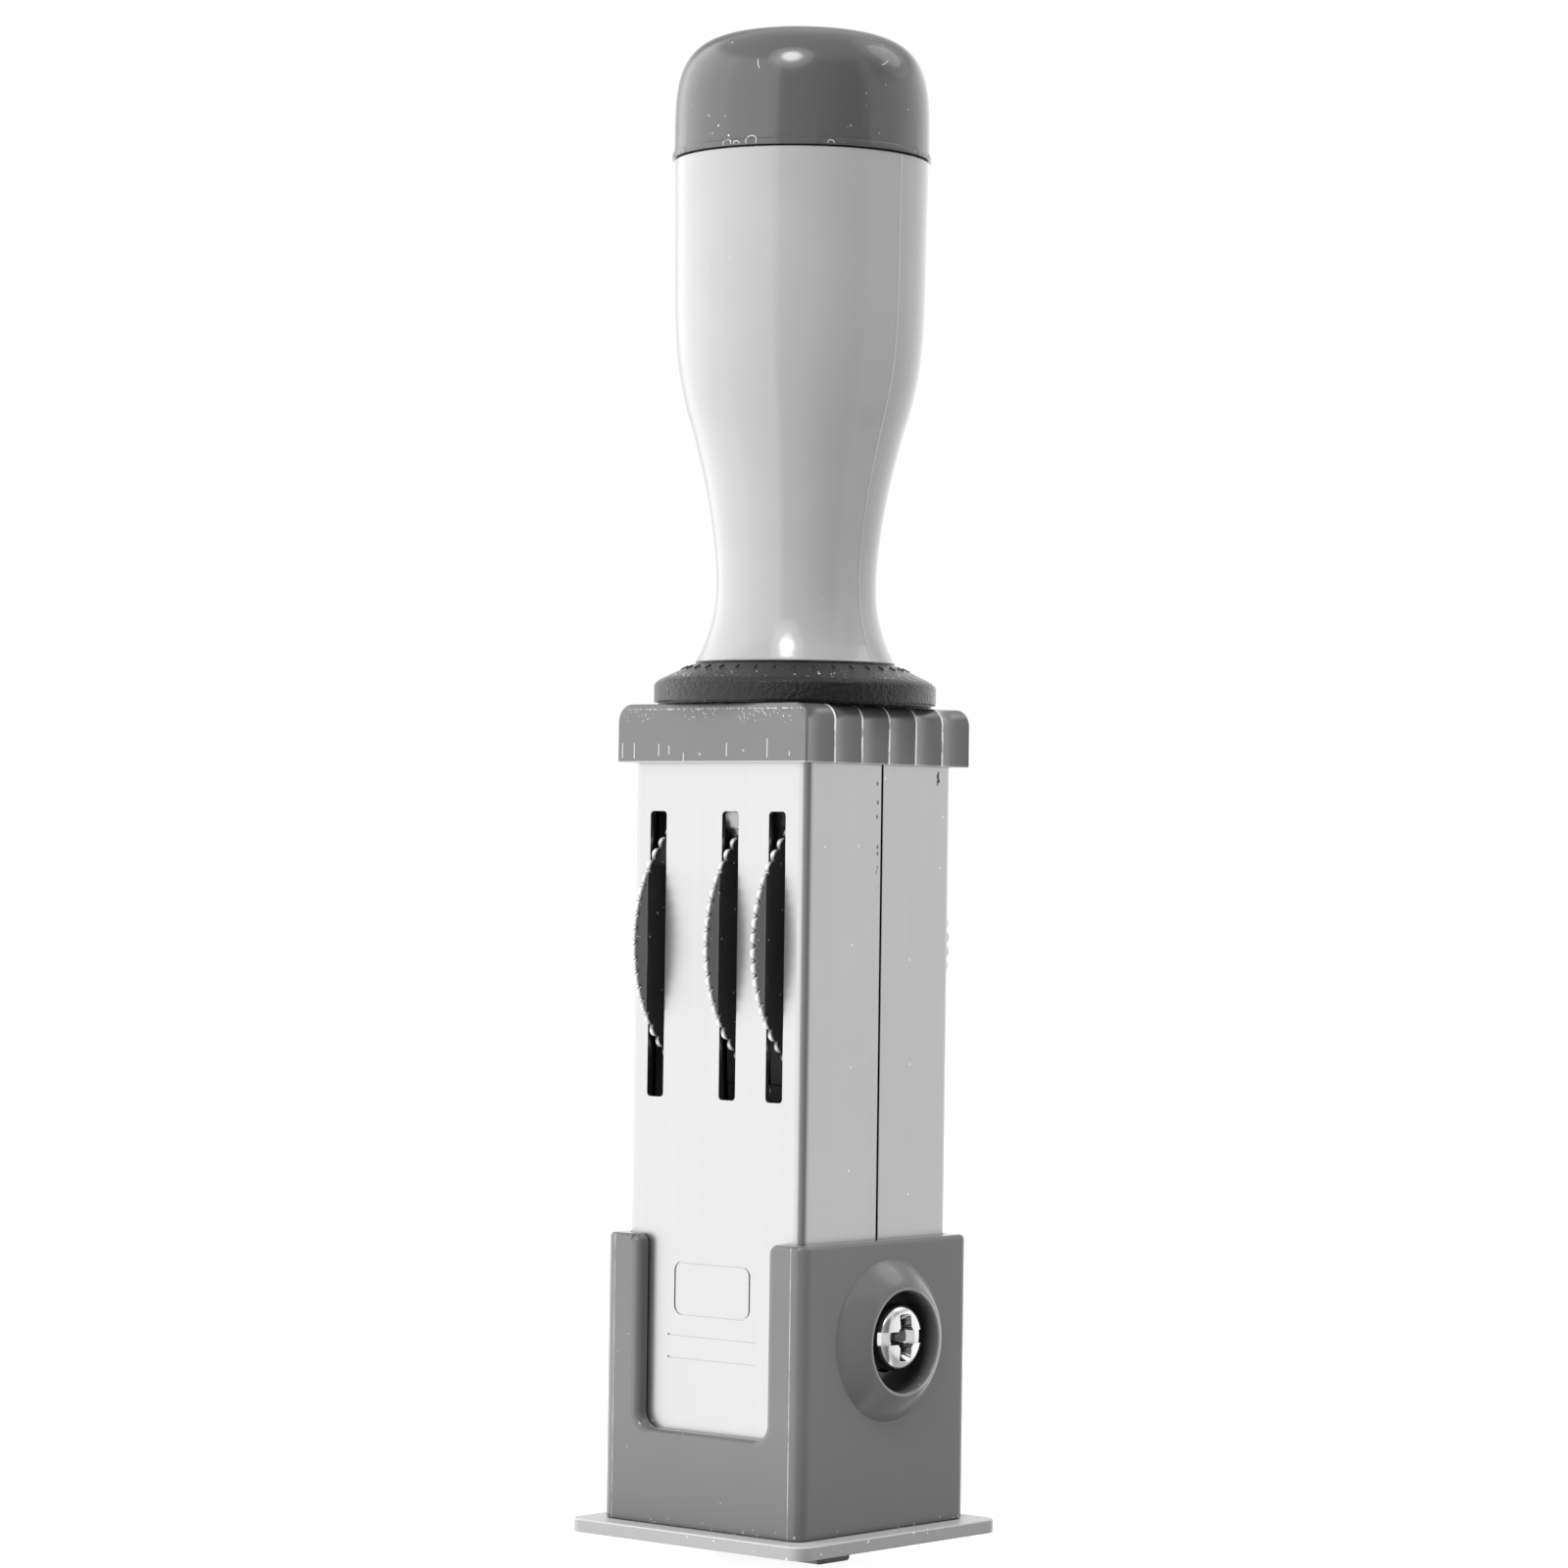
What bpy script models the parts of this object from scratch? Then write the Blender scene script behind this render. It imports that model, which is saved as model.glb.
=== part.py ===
"""Rotary date stamp: a square steel housing with three thumb wheels and type bands, a plastic foot
sleeve that slides for height and is clamped by two side screws, and a turned plastic handle.

Sizes are in millimetres and become metres in prism(), turned() and place(). +Z is up, the front face
with the wheel slots is on -Y, and the origin is the middle of the stamping face.
"""

from math import asin, atan2, cos, hypot, pi, radians, sin

import bmesh
import bpy
from mathutils import Matrix, Vector

MM = 0.001
FIT_GAP = 0.1  # between fixed pieces that touch
RUN_GAP = 0.07  # all round a turning shaft
ROUND_STEPS = 36
PIN_STEPS = 24

# Foot: plate and sleeve
PLATE_LOW = 2.25
PLATE_THICK = 1.24
PLATE_SIDE = 27.77
PLATE_CORNER = 1.5
MOUTH = (17.8, 8.4)  # opening for the type bands, along X and Y
SLEEVE_LOW = PLATE_LOW + PLATE_THICK + 0.05
SLEEVE_TOP = 29.25
SLEEVE_SIDE = 23.53
SLEEVE_CORNER = 0.7
WINDOW_HALF = 7.6
WINDOW_LOW = 11.95
WINDOW_CORNER = 1.5
POST_ROUND = 0.8

# Clamp screws through the sleeve's side bosses
CLAMP_Y = 0.36
CLAMP_Z = 20.73
BOSS_Z = 20.35  # the foot sits a little below the middle of its travel
BOSS_BASE_R = 7.2
BOSS_CREST_R = 4.85
BOSS_OUT = 1.95
RECESS_R = 4.5
RECESS_FLOOR = 11.2
FOOT_TRAVEL = 1.2
SCREW_R = 1.45
SCREW_HEAD_R = 2.98
SCREW_HEAD_TALL = 2.45
SCREW_END = 6.6
NUT_SIDE = 5.5
NUT_THICK = 1.6

# Steel housing: two bent shells that meet along a seam on each side
HOUSING_SIDE = 20.58
SHEET = 0.5
HOUSING_CORNER = 1.0
HOUSING_LOW = 6.25
HOUSING_TOP = 75.55
SEAM_Y = 0.16
SEAM_GAP = 0.06
SLOT_CENTRES = (-7.16, 1.42, 6.93)
SLOT_WIDE = 1.9
SLOT_LOW = 41.6
SLOT_TOP = 67.25

# Inner frame, nose bar, axle, wheels and bands
CHEEK_IN = 8.65
CHEEK_OUT = 9.65
FRAME_HALF_DEPTH = 7.5
FRAME_LOW = 7.25
FRAME_TOP = 75.5
BRIDGE_THICK = 1.45
AXLE_Y = 0.6
AXLE_Z = 55.45
AXLE_R = 1.5
WHEEL_R = 13.8
WHEEL_THICK = 0.7
WHEEL_OFFSET = -0.45  # each disc runs left of its slot's centre
TEETH = 64
TOOTH_DEEP = 0.35
DRUM_R = 5.9
HUB_R = 2.6
NOSE_HALF = 2.2
NOSE_LOW = 1.95
NOSE_TOP = 12.0
NOSE_ROUND = 1.2
TENON_R = 1.0
BAND_IN = 0.05  # band's inner face clear of the nose
BAND_THICK = 0.8
BAND_DRUM_R = 6.0
TYPE_HALF = 1.9

# Each wheel: slot number, drum from and to, right-hand hub to (or None), band from and to, along X
WHEELS = {
    "year": (0, -7.35, -3.0, None, (-6.4, -3.2)),
    "month": (1, -2.85, 0.75, 1.9, (-2.7, 0.4)),
    "day": (2, 2.0, 6.25, None, (2.4, 6.0)),
}

# Top cap, collar and handle
CAP_SIDE = (22.4, 23.0)  # across the flutes, and front to back
CAP_LOW = 71.61
CAP_TOP = 76.85
CAP_CEILING = 75.7
CAP_SIDE_ROUND = 1.5
CAP_END_ROUND = 0.1
FLUTES = 6
FLUTE_DEEP = 0.45
COLLAR_R = 12.8
COLLAR_LOW = 76.95
COLLAR_STEP = 0.2
COLLAR_RIM = 1.3
COLLAR_TOP = 80.65
GRIP_LOW = 80.75
GRIP_TOP = 126.3
CAVITY_R = 9.15
HANDLE_SCREW_R = 1.95
HANDLE_HEAD_R = 4.0
INSERT_R = 3.2
INSERT_TOP = 94.25
DOME_LOW = 126.4
DOME_CENTRE = 127.0
DOME_R = 11.61
DOME_TALL = 11.0
DOME_POWER = 4.1
DOME_WALL = 1.8
DOME_LIP_R = 11.8

TURNS = {
    "X": Matrix(((0, 0, 1), (1, 0, 0), (0, 1, 0))),  # local x, y, z lie along Y, Z, X
    "Y": Matrix(((1, 0, 0), (0, 0, -1), (0, 1, 0))),  # local x, y, z lie along X, Z, -Y
    "Z": Matrix.Identity(3),
}


def clear_scene():
    for obj in list(bpy.data.objects):
        bpy.data.objects.remove(obj, do_unlink=True)


def collection(name):
    made = bpy.data.collections.new(name)
    bpy.context.scene.collection.children.link(made)
    return made


def material(name, colour, roughness, metallic=0.0):
    made = bpy.data.materials.new(name)
    made.use_nodes = True
    shader = made.node_tree.nodes["Principled BSDF"]
    shader.inputs["Base Color"].default_value = (*colour, 1.0)
    shader.inputs["Roughness"].default_value = roughness
    shader.inputs["Metallic"].default_value = metallic
    return made


# ---- outlines ---------------------------------------------------------------------------------


def arc(cx, cy, radius, start, end, steps):
    """Points on an arc, from start to end in degrees."""
    points = []
    for i in range(steps + 1):
        angle = radians(start + (end - start) * i / steps)
        points.append((cx + radius * cos(angle), cy + radius * sin(angle)))
    return points


def circle(radius, steps=PIN_STEPS, cx=0.0, cy=0.0):
    return arc(cx, cy, radius, 0, 360, steps)[:-1]


def rounded_rect(half_x, half_y, radius, cx=0.0, cy=0.0, steps=3):
    points = []
    for i, (sx, sy) in enumerate(((1, 1), (-1, 1), (-1, -1), (1, -1))):
        centre = (cx + sx * (half_x - radius), cy + sy * (half_y - radius))
        points += arc(*centre, radius, 90 * i, 90 * i + 90, steps)
    return points


def channel(depth):
    """Section of one bent shell, open towards +Y, with its front face on -Y and its legs ending at depth."""
    half = HOUSING_SIDE / 2
    outer, inner = HOUSING_CORNER, HOUSING_CORNER - SHEET
    left, right = -half + HOUSING_CORNER, half - HOUSING_CORNER
    front = -half + HOUSING_CORNER
    points = [(-half, depth)]
    points += arc(left, front, outer, 180, 270, 5)
    points += arc(right, front, outer, 270, 360, 5)
    points += [(half, depth), (half - SHEET, depth)]
    points += arc(right, front, inner, 360, 270, 5)
    points += arc(left, front, inner, 270, 180, 5)
    points.append((-half + SHEET, depth))
    return points


def toothed_rim():
    """Rim of a thumb wheel: a rounded crest and a valley for each tooth."""
    points = []
    for i in range(TEETH):
        for step, radius in ((0, WHEEL_R), (0.5, WHEEL_R - TOOTH_DEEP)):
            angle = 2 * pi * (i + step) / TEETH
            points.append((radius * cos(angle), radius * sin(angle)))
    return points


def belt_loop(circles, offset, steps):
    """Taut loop round circles (x, y, radius) listed anticlockwise, moved out by offset."""
    normals = []
    for (x0, y0, r0), (x1, y1, r1) in zip(circles, circles[1:] + circles[:1]):
        heading = atan2(y1 - y0, x1 - x0)
        normals.append(heading - pi / 2 + asin((r0 - r1) / hypot(x1 - x0, y1 - y0)))
    points = []
    for i, (x, y, radius) in enumerate(circles):
        start = normals[i - 1]
        sweep = (normals[i] - start) % (2 * pi)
        points += arc(x, y, radius + offset, start * 180 / pi, (start + sweep) * 180 / pi, steps)
    return points


def smooth_line(points, per_span):
    """A curve through the points, with each span's slopes taken from its neighbours."""
    rows = [Vector(p) for p in points]
    made = []
    for i in range(len(rows) - 1):
        before, start = rows[max(i - 1, 0)], rows[i]
        end, after = rows[i + 1], rows[min(i + 2, len(rows) - 1)]
        span = end.y - start.y
        slope_in = (end - before) * (span / (end.y - before.y))
        slope_out = (after - start) * (span / (after.y - start.y))
        for step in range(per_span):
            t = step / per_span
            made.append(
                start * (2 * t**3 - 3 * t**2 + 1)
                + slope_in * (t**3 - 2 * t**2 + t)
                + end * (3 * t**2 - 2 * t**3)
                + slope_out * (t**3 - t**2)
            )
    made.append(rows[-1])
    return [tuple(p) for p in made]


# ---- solids -----------------------------------------------------------------------------------


def place(name, mesh, look, axis, centre):
    obj = bpy.data.objects.new(name, mesh)
    turn = TURNS[axis].to_4x4()
    obj.matrix_world = Matrix.Translation(Vector(centre) * MM) @ turn
    if look:
        mesh.materials.append(look)
        PARTS.objects.link(obj)
    else:
        CUTTERS.objects.link(obj)
        obj.hide_render = True
        obj.display_type = "WIRE"
    return obj


def prism(name, outlines, low, high, look=None, axis="Z", centre=(0, 0, 0)):
    """Solid from a flat outline and its holes, drawn from low to high along an axis. No look makes a cutter."""
    curve = bpy.data.curves.new(name, "CURVE")
    curve.dimensions = "2D"
    curve.fill_mode = "BOTH"
    curve.extrude = (high - low) / 2 * MM
    for outline in outlines:
        spline = curve.splines.new("POLY")
        spline.points.add(len(outline) - 1)
        for point, (u, v) in zip(spline.points, outline):
            point.co = (u * MM, v * MM, 0, 1)
        spline.use_cyclic_u = True
    drawn = bpy.data.objects.new(name + "_outline", curve)
    bpy.context.scene.collection.objects.link(drawn)
    graph = bpy.context.evaluated_depsgraph_get()
    mesh = bpy.data.meshes.new_from_object(drawn.evaluated_get(graph))
    bpy.data.objects.remove(drawn)
    mesh.transform(Matrix.Translation((0, 0, (low + high) / 2 * MM)))
    work = bmesh.new()
    work.from_mesh(mesh)
    bmesh.ops.remove_doubles(work, verts=work.verts, dist=1e-7)
    bmesh.ops.dissolve_limit(work, angle_limit=radians(0.5), verts=work.verts, edges=work.edges)
    bmesh.ops.recalc_face_normals(work, faces=work.faces)
    work.to_mesh(mesh)
    work.free()
    mesh.name = name
    return place(name, mesh, look, axis, centre)


def turned(name, profile, look=None, axis="Z", centre=(0, 0, 0), steps=ROUND_STEPS):
    """Solid of revolution. Its profile (radius, height) runs down the outer side, then up the bore or axis."""
    work = bmesh.new()
    corners = [work.verts.new((radius * MM, 0, height * MM)) for radius, height in profile]
    for first, second in zip(corners, corners[1:] + corners[:1]):
        if first.co.x or second.co.x:
            work.edges.new((first, second))
    mesh = bpy.data.meshes.new(name)
    work.to_mesh(mesh)
    work.free()
    obj = place(name, mesh, look, axis, centre)
    screw = obj.modifiers.new("Turn", "SCREW")
    screw.axis = "Z"
    screw.steps = steps
    screw.render_steps = steps
    screw.use_merge_vertices = True
    screw.merge_threshold = 1e-6
    return obj


def combine(obj, other, operation="DIFFERENCE"):
    boolean = obj.modifiers.new(operation.title(), "BOOLEAN")
    boolean.operation = operation
    boolean.object = other
    boolean.solver = "EXACT"


def cut(obj, *cutters):
    for cutter in cutters:
        combine(obj, cutter)


def join(obj, *others):
    for other in others:
        combine(obj, other, "UNION")


def shade_round():
    for obj in PARTS.objects:
        obj.data.shade_smooth()
        obj.data.set_sharp_from_angle(angle=radians(35))


# ---- foot -------------------------------------------------------------------------------------


def mouth_outline():
    return rounded_rect(MOUTH[0] / 2, MOUTH[1] / 2, 0.8)


def base_plate():
    half = PLATE_SIDE / 2
    outline = rounded_rect(half, half, PLATE_CORNER, steps=5)
    prism("base_plate", [outline, mouth_outline()], PLATE_LOW, PLATE_LOW + PLATE_THICK, PLATE_GREY)


def window_outline():
    """U-shaped opening, open at the top, where its posts end in rounded corners."""
    top = SLEEVE_TOP - POST_ROUND
    right = arc(WINDOW_HALF - WINDOW_CORNER, WINDOW_LOW + WINDOW_CORNER, WINDOW_CORNER, 270, 360, 4)
    right += arc(WINDOW_HALF + POST_ROUND, top, POST_ROUND, 180, 90, 4)
    right.append((WINDOW_HALF + POST_ROUND, SLEEVE_TOP + 1))
    return right + [(-x, z) for x, z in reversed(right)]


def boss(side):
    """Cone round a clamp screw, from inside the sleeve's wall out to the crest."""
    wall = SLEEVE_SIDE / 2
    profile = [
        (BOSS_CREST_R - 0.25, wall + BOSS_OUT),
        (BOSS_CREST_R + 0.1, wall + BOSS_OUT - 0.2),
        (BOSS_BASE_R - 0.4, wall + 0.35),
        (BOSS_BASE_R, wall),
        (BOSS_BASE_R, wall - 0.5),
        (0, wall - 0.5),
        (0, wall + BOSS_OUT),
    ]
    return turned("boss_" + side, profile, axis="X", centre=(0, CLAMP_Y, BOSS_Z))


def half_turn(obj):
    """Turns a piece made for the +X side about the clamp's vertical line, to the -X side."""
    pivot = Vector((0, CLAMP_Y, 0)) * MM
    spin = Matrix.Translation(pivot) @ Matrix.Rotation(pi, 4, "Z") @ Matrix.Translation(-pivot)
    obj.matrix_world = spin @ obj.matrix_world
    return obj


def clamp_cutter(name, outline, low, high, z=CLAMP_Z):
    """Cutter along X, centred on a clamp screw or, at BOSS_Z, on the boss round it."""
    return prism(name, [outline], low, high, axis="X", centre=(0, CLAMP_Y, z))


def lower_sleeve():
    half = SLEEVE_SIDE / 2
    bore = HOUSING_SIDE / 2 + FIT_GAP
    outlines = [rounded_rect(half, half, SLEEVE_CORNER), rounded_rect(bore, bore, HOUSING_CORNER)]
    sleeve = prism("lower_sleeve", outlines, SLEEVE_LOW, SLEEVE_TOP, SLEEVE_GREY)
    cut(sleeve, prism("window_cutter", [window_outline()], -20, 20, axis="Y"))
    slot_half = SCREW_R + 0.25
    slot = rounded_rect(slot_half, slot_half + FOOT_TRAVEL, slot_half - 0.01, steps=6)
    for side in ("right", "left"):
        cone = boss(side)
        recess = clamp_cutter("recess_" + side, circle(RECESS_R, 32), RECESS_FLOOR, half + 5, BOSS_Z)
        floor_slot = clamp_cutter("floor_slot_" + side, slot, bore - 1, RECESS_FLOOR + 0.5, BOSS_Z)
        if side == "left":
            for piece in (cone, recess, floor_slot):
                half_turn(piece)
        join(sleeve, cone)
        cut(sleeve, recess, floor_slot)


def side_screw(side):
    seat = RECESS_FLOOR + 0.05
    top = seat + SCREW_HEAD_TALL
    profile = [
        (0, top),
        (SCREW_HEAD_R * 0.5, top - 0.08),
        (SCREW_HEAD_R * 0.8, top - 0.3),
        (SCREW_HEAD_R * 0.95, top - 0.6),
        (SCREW_HEAD_R, top - 1.0),
        (SCREW_HEAD_R, seat),
        (SCREW_R, seat),
        (SCREW_R, SCREW_END + 0.3),
        (SCREW_R - 0.3, SCREW_END),
        (0, SCREW_END),
    ]
    screw = turned("side_screw_" + side, profile, SCREW_STEEL, "X", (0, CLAMP_Y, CLAMP_Z), steps=PIN_STEPS)
    slot = clamp_cutter("drive_slot_" + side, rounded_rect(4, 0.5, 0.05, steps=1), top - 0.8, top + 1)
    cross = clamp_cutter("drive_cross_" + side, rounded_rect(0.45, 1.7, 0.3), top - 1.3, top + 1)
    cut(screw, slot, cross)
    return [screw, slot, cross]


def side_nut(side):
    half = NUT_SIDE / 2
    face = CHEEK_IN - FIT_GAP
    outlines = [rounded_rect(half, half, 0.4, steps=2), circle(SCREW_R + FIT_GAP)]
    return prism("side_nut_" + side, outlines, face - NUT_THICK, face, SCREW_STEEL, "X", (0, CLAMP_Y, CLAMP_Z))


def clamp_hardware():
    side_screw("right")
    side_nut("right")
    for piece in side_screw("left") + [side_nut("left")]:
        half_turn(piece)


# ---- housing ----------------------------------------------------------------------------------


def shells(clamp_hole):
    leg = SEAM_Y - SEAM_GAP / 2
    rear_leg = SEAM_Y + SEAM_GAP / 2
    front = prism("front_shell", [channel(leg)], HOUSING_LOW, HOUSING_TOP, STAINLESS)
    rear_outline = [(x, -y) for x, y in channel(-rear_leg)]
    rear = prism("rear_shell", [rear_outline], HOUSING_LOW, HOUSING_TOP, STAINLESS)
    for i, x in enumerate(SLOT_CENTRES):
        middle = (SLOT_LOW + SLOT_TOP) / 2
        outline = rounded_rect(SLOT_WIDE / 2, (SLOT_TOP - SLOT_LOW) / 2, 0.3, x, middle)
        slot = prism(f"wheel_slot_{i}", [outline], -20, 20, axis="Y")
        cut(front, slot)
        cut(rear, slot)
    cut(front, clamp_hole)
    cut(rear, clamp_hole)


# ---- works ------------------------------------------------------------------------------------


def inner_frame(clamp_hole):
    top, under = FRAME_TOP, FRAME_TOP - BRIDGE_THICK
    outline = [
        (CHEEK_OUT, FRAME_LOW),
        (CHEEK_OUT, top),
        (-CHEEK_OUT, top),
        (-CHEEK_OUT, FRAME_LOW),
        (-CHEEK_IN, FRAME_LOW),
        (-CHEEK_IN, under),
        (CHEEK_IN, under),
        (CHEEK_IN, FRAME_LOW),
    ]
    frame = prism("inner_frame", [outline], -FRAME_HALF_DEPTH, FRAME_HALF_DEPTH, FRAME_STEEL, "Y")
    axle_hole = prism("axle_hole", [circle(AXLE_R + RUN_GAP)], -12, 12, axis="X", centre=(0, AXLE_Y, AXLE_Z))
    tenon_z = (NOSE_TOP + FRAME_LOW) / 2
    tenon_hole = prism("tenon_hole", [circle(TENON_R + FIT_GAP, 16)], -12, 12, axis="X", centre=(0, 0, tenon_z))
    screw_hole = prism("bridge_hole", [circle(HANDLE_SCREW_R + 0.25)], under - 1, top + 1)
    cut(frame, clamp_hole, axle_hole, tenon_hole, screw_hole)


def nose_bar():
    """Bar that the type bands turn round, with a tenon at each end in the frame's cheeks."""
    round_z = NOSE_LOW + NOSE_ROUND
    inner = NOSE_HALF - NOSE_ROUND
    outline = arc(-inner, round_z, NOSE_ROUND, 180, 270, 4) + arc(inner, round_z, NOSE_ROUND, 270, 360, 4)
    outline += [(NOSE_HALF, NOSE_TOP), (-NOSE_HALF, NOSE_TOP)]
    length = CHEEK_IN - FIT_GAP
    bar = prism("nose_bar", [outline], -length, length, FRAME_STEEL, "X")
    tenon_z = (NOSE_TOP + FRAME_LOW) / 2
    reach = CHEEK_OUT - 0.05
    join(bar, prism("nose_tenons", [circle(TENON_R, 16)], -reach, reach, axis="X", centre=(0, 0, tenon_z)))


def wheel_axle():
    end = CHEEK_OUT - 0.02
    centre = (0, AXLE_Y, AXLE_Z)
    prism("wheel_axle", [circle(AXLE_R)], -end, end, PIN_STEEL, "X", centre)
    year_face = SLOT_CENTRES[0] + WHEEL_OFFSET - WHEEL_THICK / 2
    day_face = SLOT_CENTRES[2] + WHEEL_OFFSET + WHEEL_THICK / 2
    outlines = [circle(HUB_R), circle(AXLE_R + RUN_GAP)]
    cheek = CHEEK_IN - FIT_GAP
    prism("axle_spacer_left", outlines, -cheek, year_face - FIT_GAP, WHEEL_BLACK, "X", centre)
    prism("axle_spacer_right", outlines, day_face + FIT_GAP, cheek, WHEEL_BLACK, "X", centre)


def thumb_wheel(name, slot, drum_from, drum_to, hub_to):
    """Toothed disc and the drum that drives its band, one moulding that turns on the axle."""
    centre = (0, AXLE_Y, AXLE_Z)
    disc = SLOT_CENTRES[slot] + WHEEL_OFFSET
    low, high = disc - WHEEL_THICK / 2, disc + WHEEL_THICK / 2
    wheel = prism(name + "_wheel", [toothed_rim()], low, high, WHEEL_BLACK, "X", centre)
    join(wheel, prism(name + "_drum", [circle(DRUM_R, 36)], drum_from, drum_to, axis="X", centre=centre))
    if hub_to:
        join(wheel, prism(name + "_hub", [circle(HUB_R)], high - 0.2, hub_to, axis="X", centre=centre))
    cut(wheel, prism(name + "_bore", [circle(AXLE_R + RUN_GAP)], -12, 12, axis="X", centre=centre))


def type_band(name, low, high):
    """Rubber loop over the drum and round the nose bar, with one raised type block on the stamping face."""
    inner = NOSE_HALF - NOSE_ROUND
    round_z = NOSE_LOW + NOSE_ROUND
    circles = [(AXLE_Y, AXLE_Z, BAND_DRUM_R), (-inner, round_z, NOSE_ROUND), (inner, round_z, NOSE_ROUND)]
    outlines = [belt_loop(circles, BAND_IN + BAND_THICK, 12), belt_loop(circles, BAND_IN, 12)]
    band = prism(name + "_band", outlines, low, high, RUBBER, "X")
    under = NOSE_LOW - BAND_IN - BAND_THICK
    block = rounded_rect(TYPE_HALF, (under + 0.3) / 2, 0.1, 0, (under + 0.3) / 2, steps=1)
    join(band, prism(name + "_type", [block], low + 0.3, high - 0.3, axis="X"))


# ---- top cap, collar and handle ---------------------------------------------------------------


def top_cap():
    """Square cap whose X faces carry upright flutes that follow the rounded top edge."""
    half, end = CAP_SIDE[0] / 2, CAP_SIDE[1] / 2
    span = end - CAP_END_ROUND
    rows = [(-end, CAP_END_ROUND, CAP_END_ROUND)]
    per_flute = 6
    for i in range(FLUTES * per_flute + 1):
        y = -span + 2 * span * i / (FLUTES * per_flute)
        depth = FLUTE_DEEP * abs(sin(pi * i / per_flute))
        rows.append((y, depth, 0.0))
    rows += [(-y, inset, drop) for y, inset, drop in rows[:1]]

    def section(inset, drop):
        side = half - inset
        top = CAP_TOP - drop
        right = [(side, CAP_LOW)] + arc(side - CAP_SIDE_ROUND, top - CAP_SIDE_ROUND, CAP_SIDE_ROUND, 0, 90, 5)
        return right + [(-x, z) for x, z in reversed(right)]

    work = bmesh.new()
    loops = []
    for y, inset, drop in rows:
        loops.append([work.verts.new((x * MM, y * MM, z * MM)) for x, z in section(inset, drop)])
    for first, second in zip(loops, loops[1:]):
        for i in range(len(first)):
            j = (i + 1) % len(first)
            work.faces.new((first[i], first[j], second[j], second[i]))
    work.faces.new(loops[0])
    work.faces.new(loops[-1])
    bmesh.ops.recalc_face_normals(work, faces=work.faces)
    mesh = bpy.data.meshes.new("top_cap")
    work.to_mesh(mesh)
    work.free()
    cap = place("top_cap", mesh, CAP_GREY, "Z", (0, 0, 0))
    bore = HOUSING_SIDE / 2 + FIT_GAP
    cut(cap, prism("cap_cavity", [rounded_rect(bore, bore, HOUSING_CORNER)], CAP_LOW - 1, CAP_CEILING))
    cut(cap, prism("cap_hole", [circle(HANDLE_SCREW_R + 0.25)], CAP_CEILING - 1, CAP_TOP + 1))


def collar_disc():
    rim_top = COLLAR_LOW + COLLAR_RIM
    profile = [
        (9.1, COLLAR_TOP),
        (9.8, COLLAR_TOP - 0.22),
        (10.65, COLLAR_TOP - 0.58),
        (11.3, COLLAR_TOP - 0.94),
        (12.07, COLLAR_TOP - 1.3),
        (12.6, rim_top + 0.55),
        (COLLAR_R, rim_top),
        (COLLAR_R, COLLAR_LOW + COLLAR_STEP),
        (COLLAR_R - 0.4, COLLAR_LOW),
        (HANDLE_SCREW_R + 0.25, COLLAR_LOW),
        (HANDLE_SCREW_R + 0.25, COLLAR_TOP),
    ]
    turned("collar_disc", profile, COLLAR_BLACK)


def handle_grip():
    outer = smooth_line(
        [
            (9.15, GRIP_LOW),
            (8.3, 82.6),
            (7.55, 85.1),
            (7.31, 87.65),
            (7.5, 91.15),
            (8.34, 96.45),
            (9.43, 101.0),
            (10.42, 104.45),
            (11.08, 108.0),
            (11.4, 112.45),
            (11.5, 119.65),
            (11.6, GRIP_TOP),
        ],
        per_span=2,
    )
    socket = INSERT_R + FIT_GAP
    bore = [
        (socket, GRIP_LOW),
        (socket, INSERT_TOP + 0.2),
        (HANDLE_SCREW_R + 0.5, INSERT_TOP + 0.2),
        (HANDLE_SCREW_R + 0.5, 98.25),
        (5.6, 100.25),
        (CAVITY_R, 111.25),
        (CAVITY_R, GRIP_TOP),
    ]
    turned("handle_grip", outer[::-1] + bore, HANDLE_GREY)


def handle_cap():
    """Domed cap with a plug ring that sits in the grip."""
    steps = 9

    def dome(radius, tall, centre):
        points = []
        power = 2 / DOME_POWER
        for i in range(1, steps + 1):
            angle = pi / 2 * (1 - i / steps)
            points.append((radius * cos(angle) ** power, centre + tall * sin(angle) ** power))
        return [(0, centre + tall)] + points

    plug = CAVITY_R - FIT_GAP
    outside = dome(DOME_R, DOME_TALL, DOME_CENTRE)
    outside += [(DOME_LIP_R, DOME_LOW + 0.5), (DOME_LIP_R, DOME_LOW)]
    outside += [(plug, DOME_LOW), (plug, DOME_LOW - 4), (plug - 1, DOME_LOW - 4)]
    inside = dome(plug - 1, DOME_TALL - DOME_WALL, DOME_CENTRE)
    turned("handle_cap", outside + inside[::-1], CAP_DARK)


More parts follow.
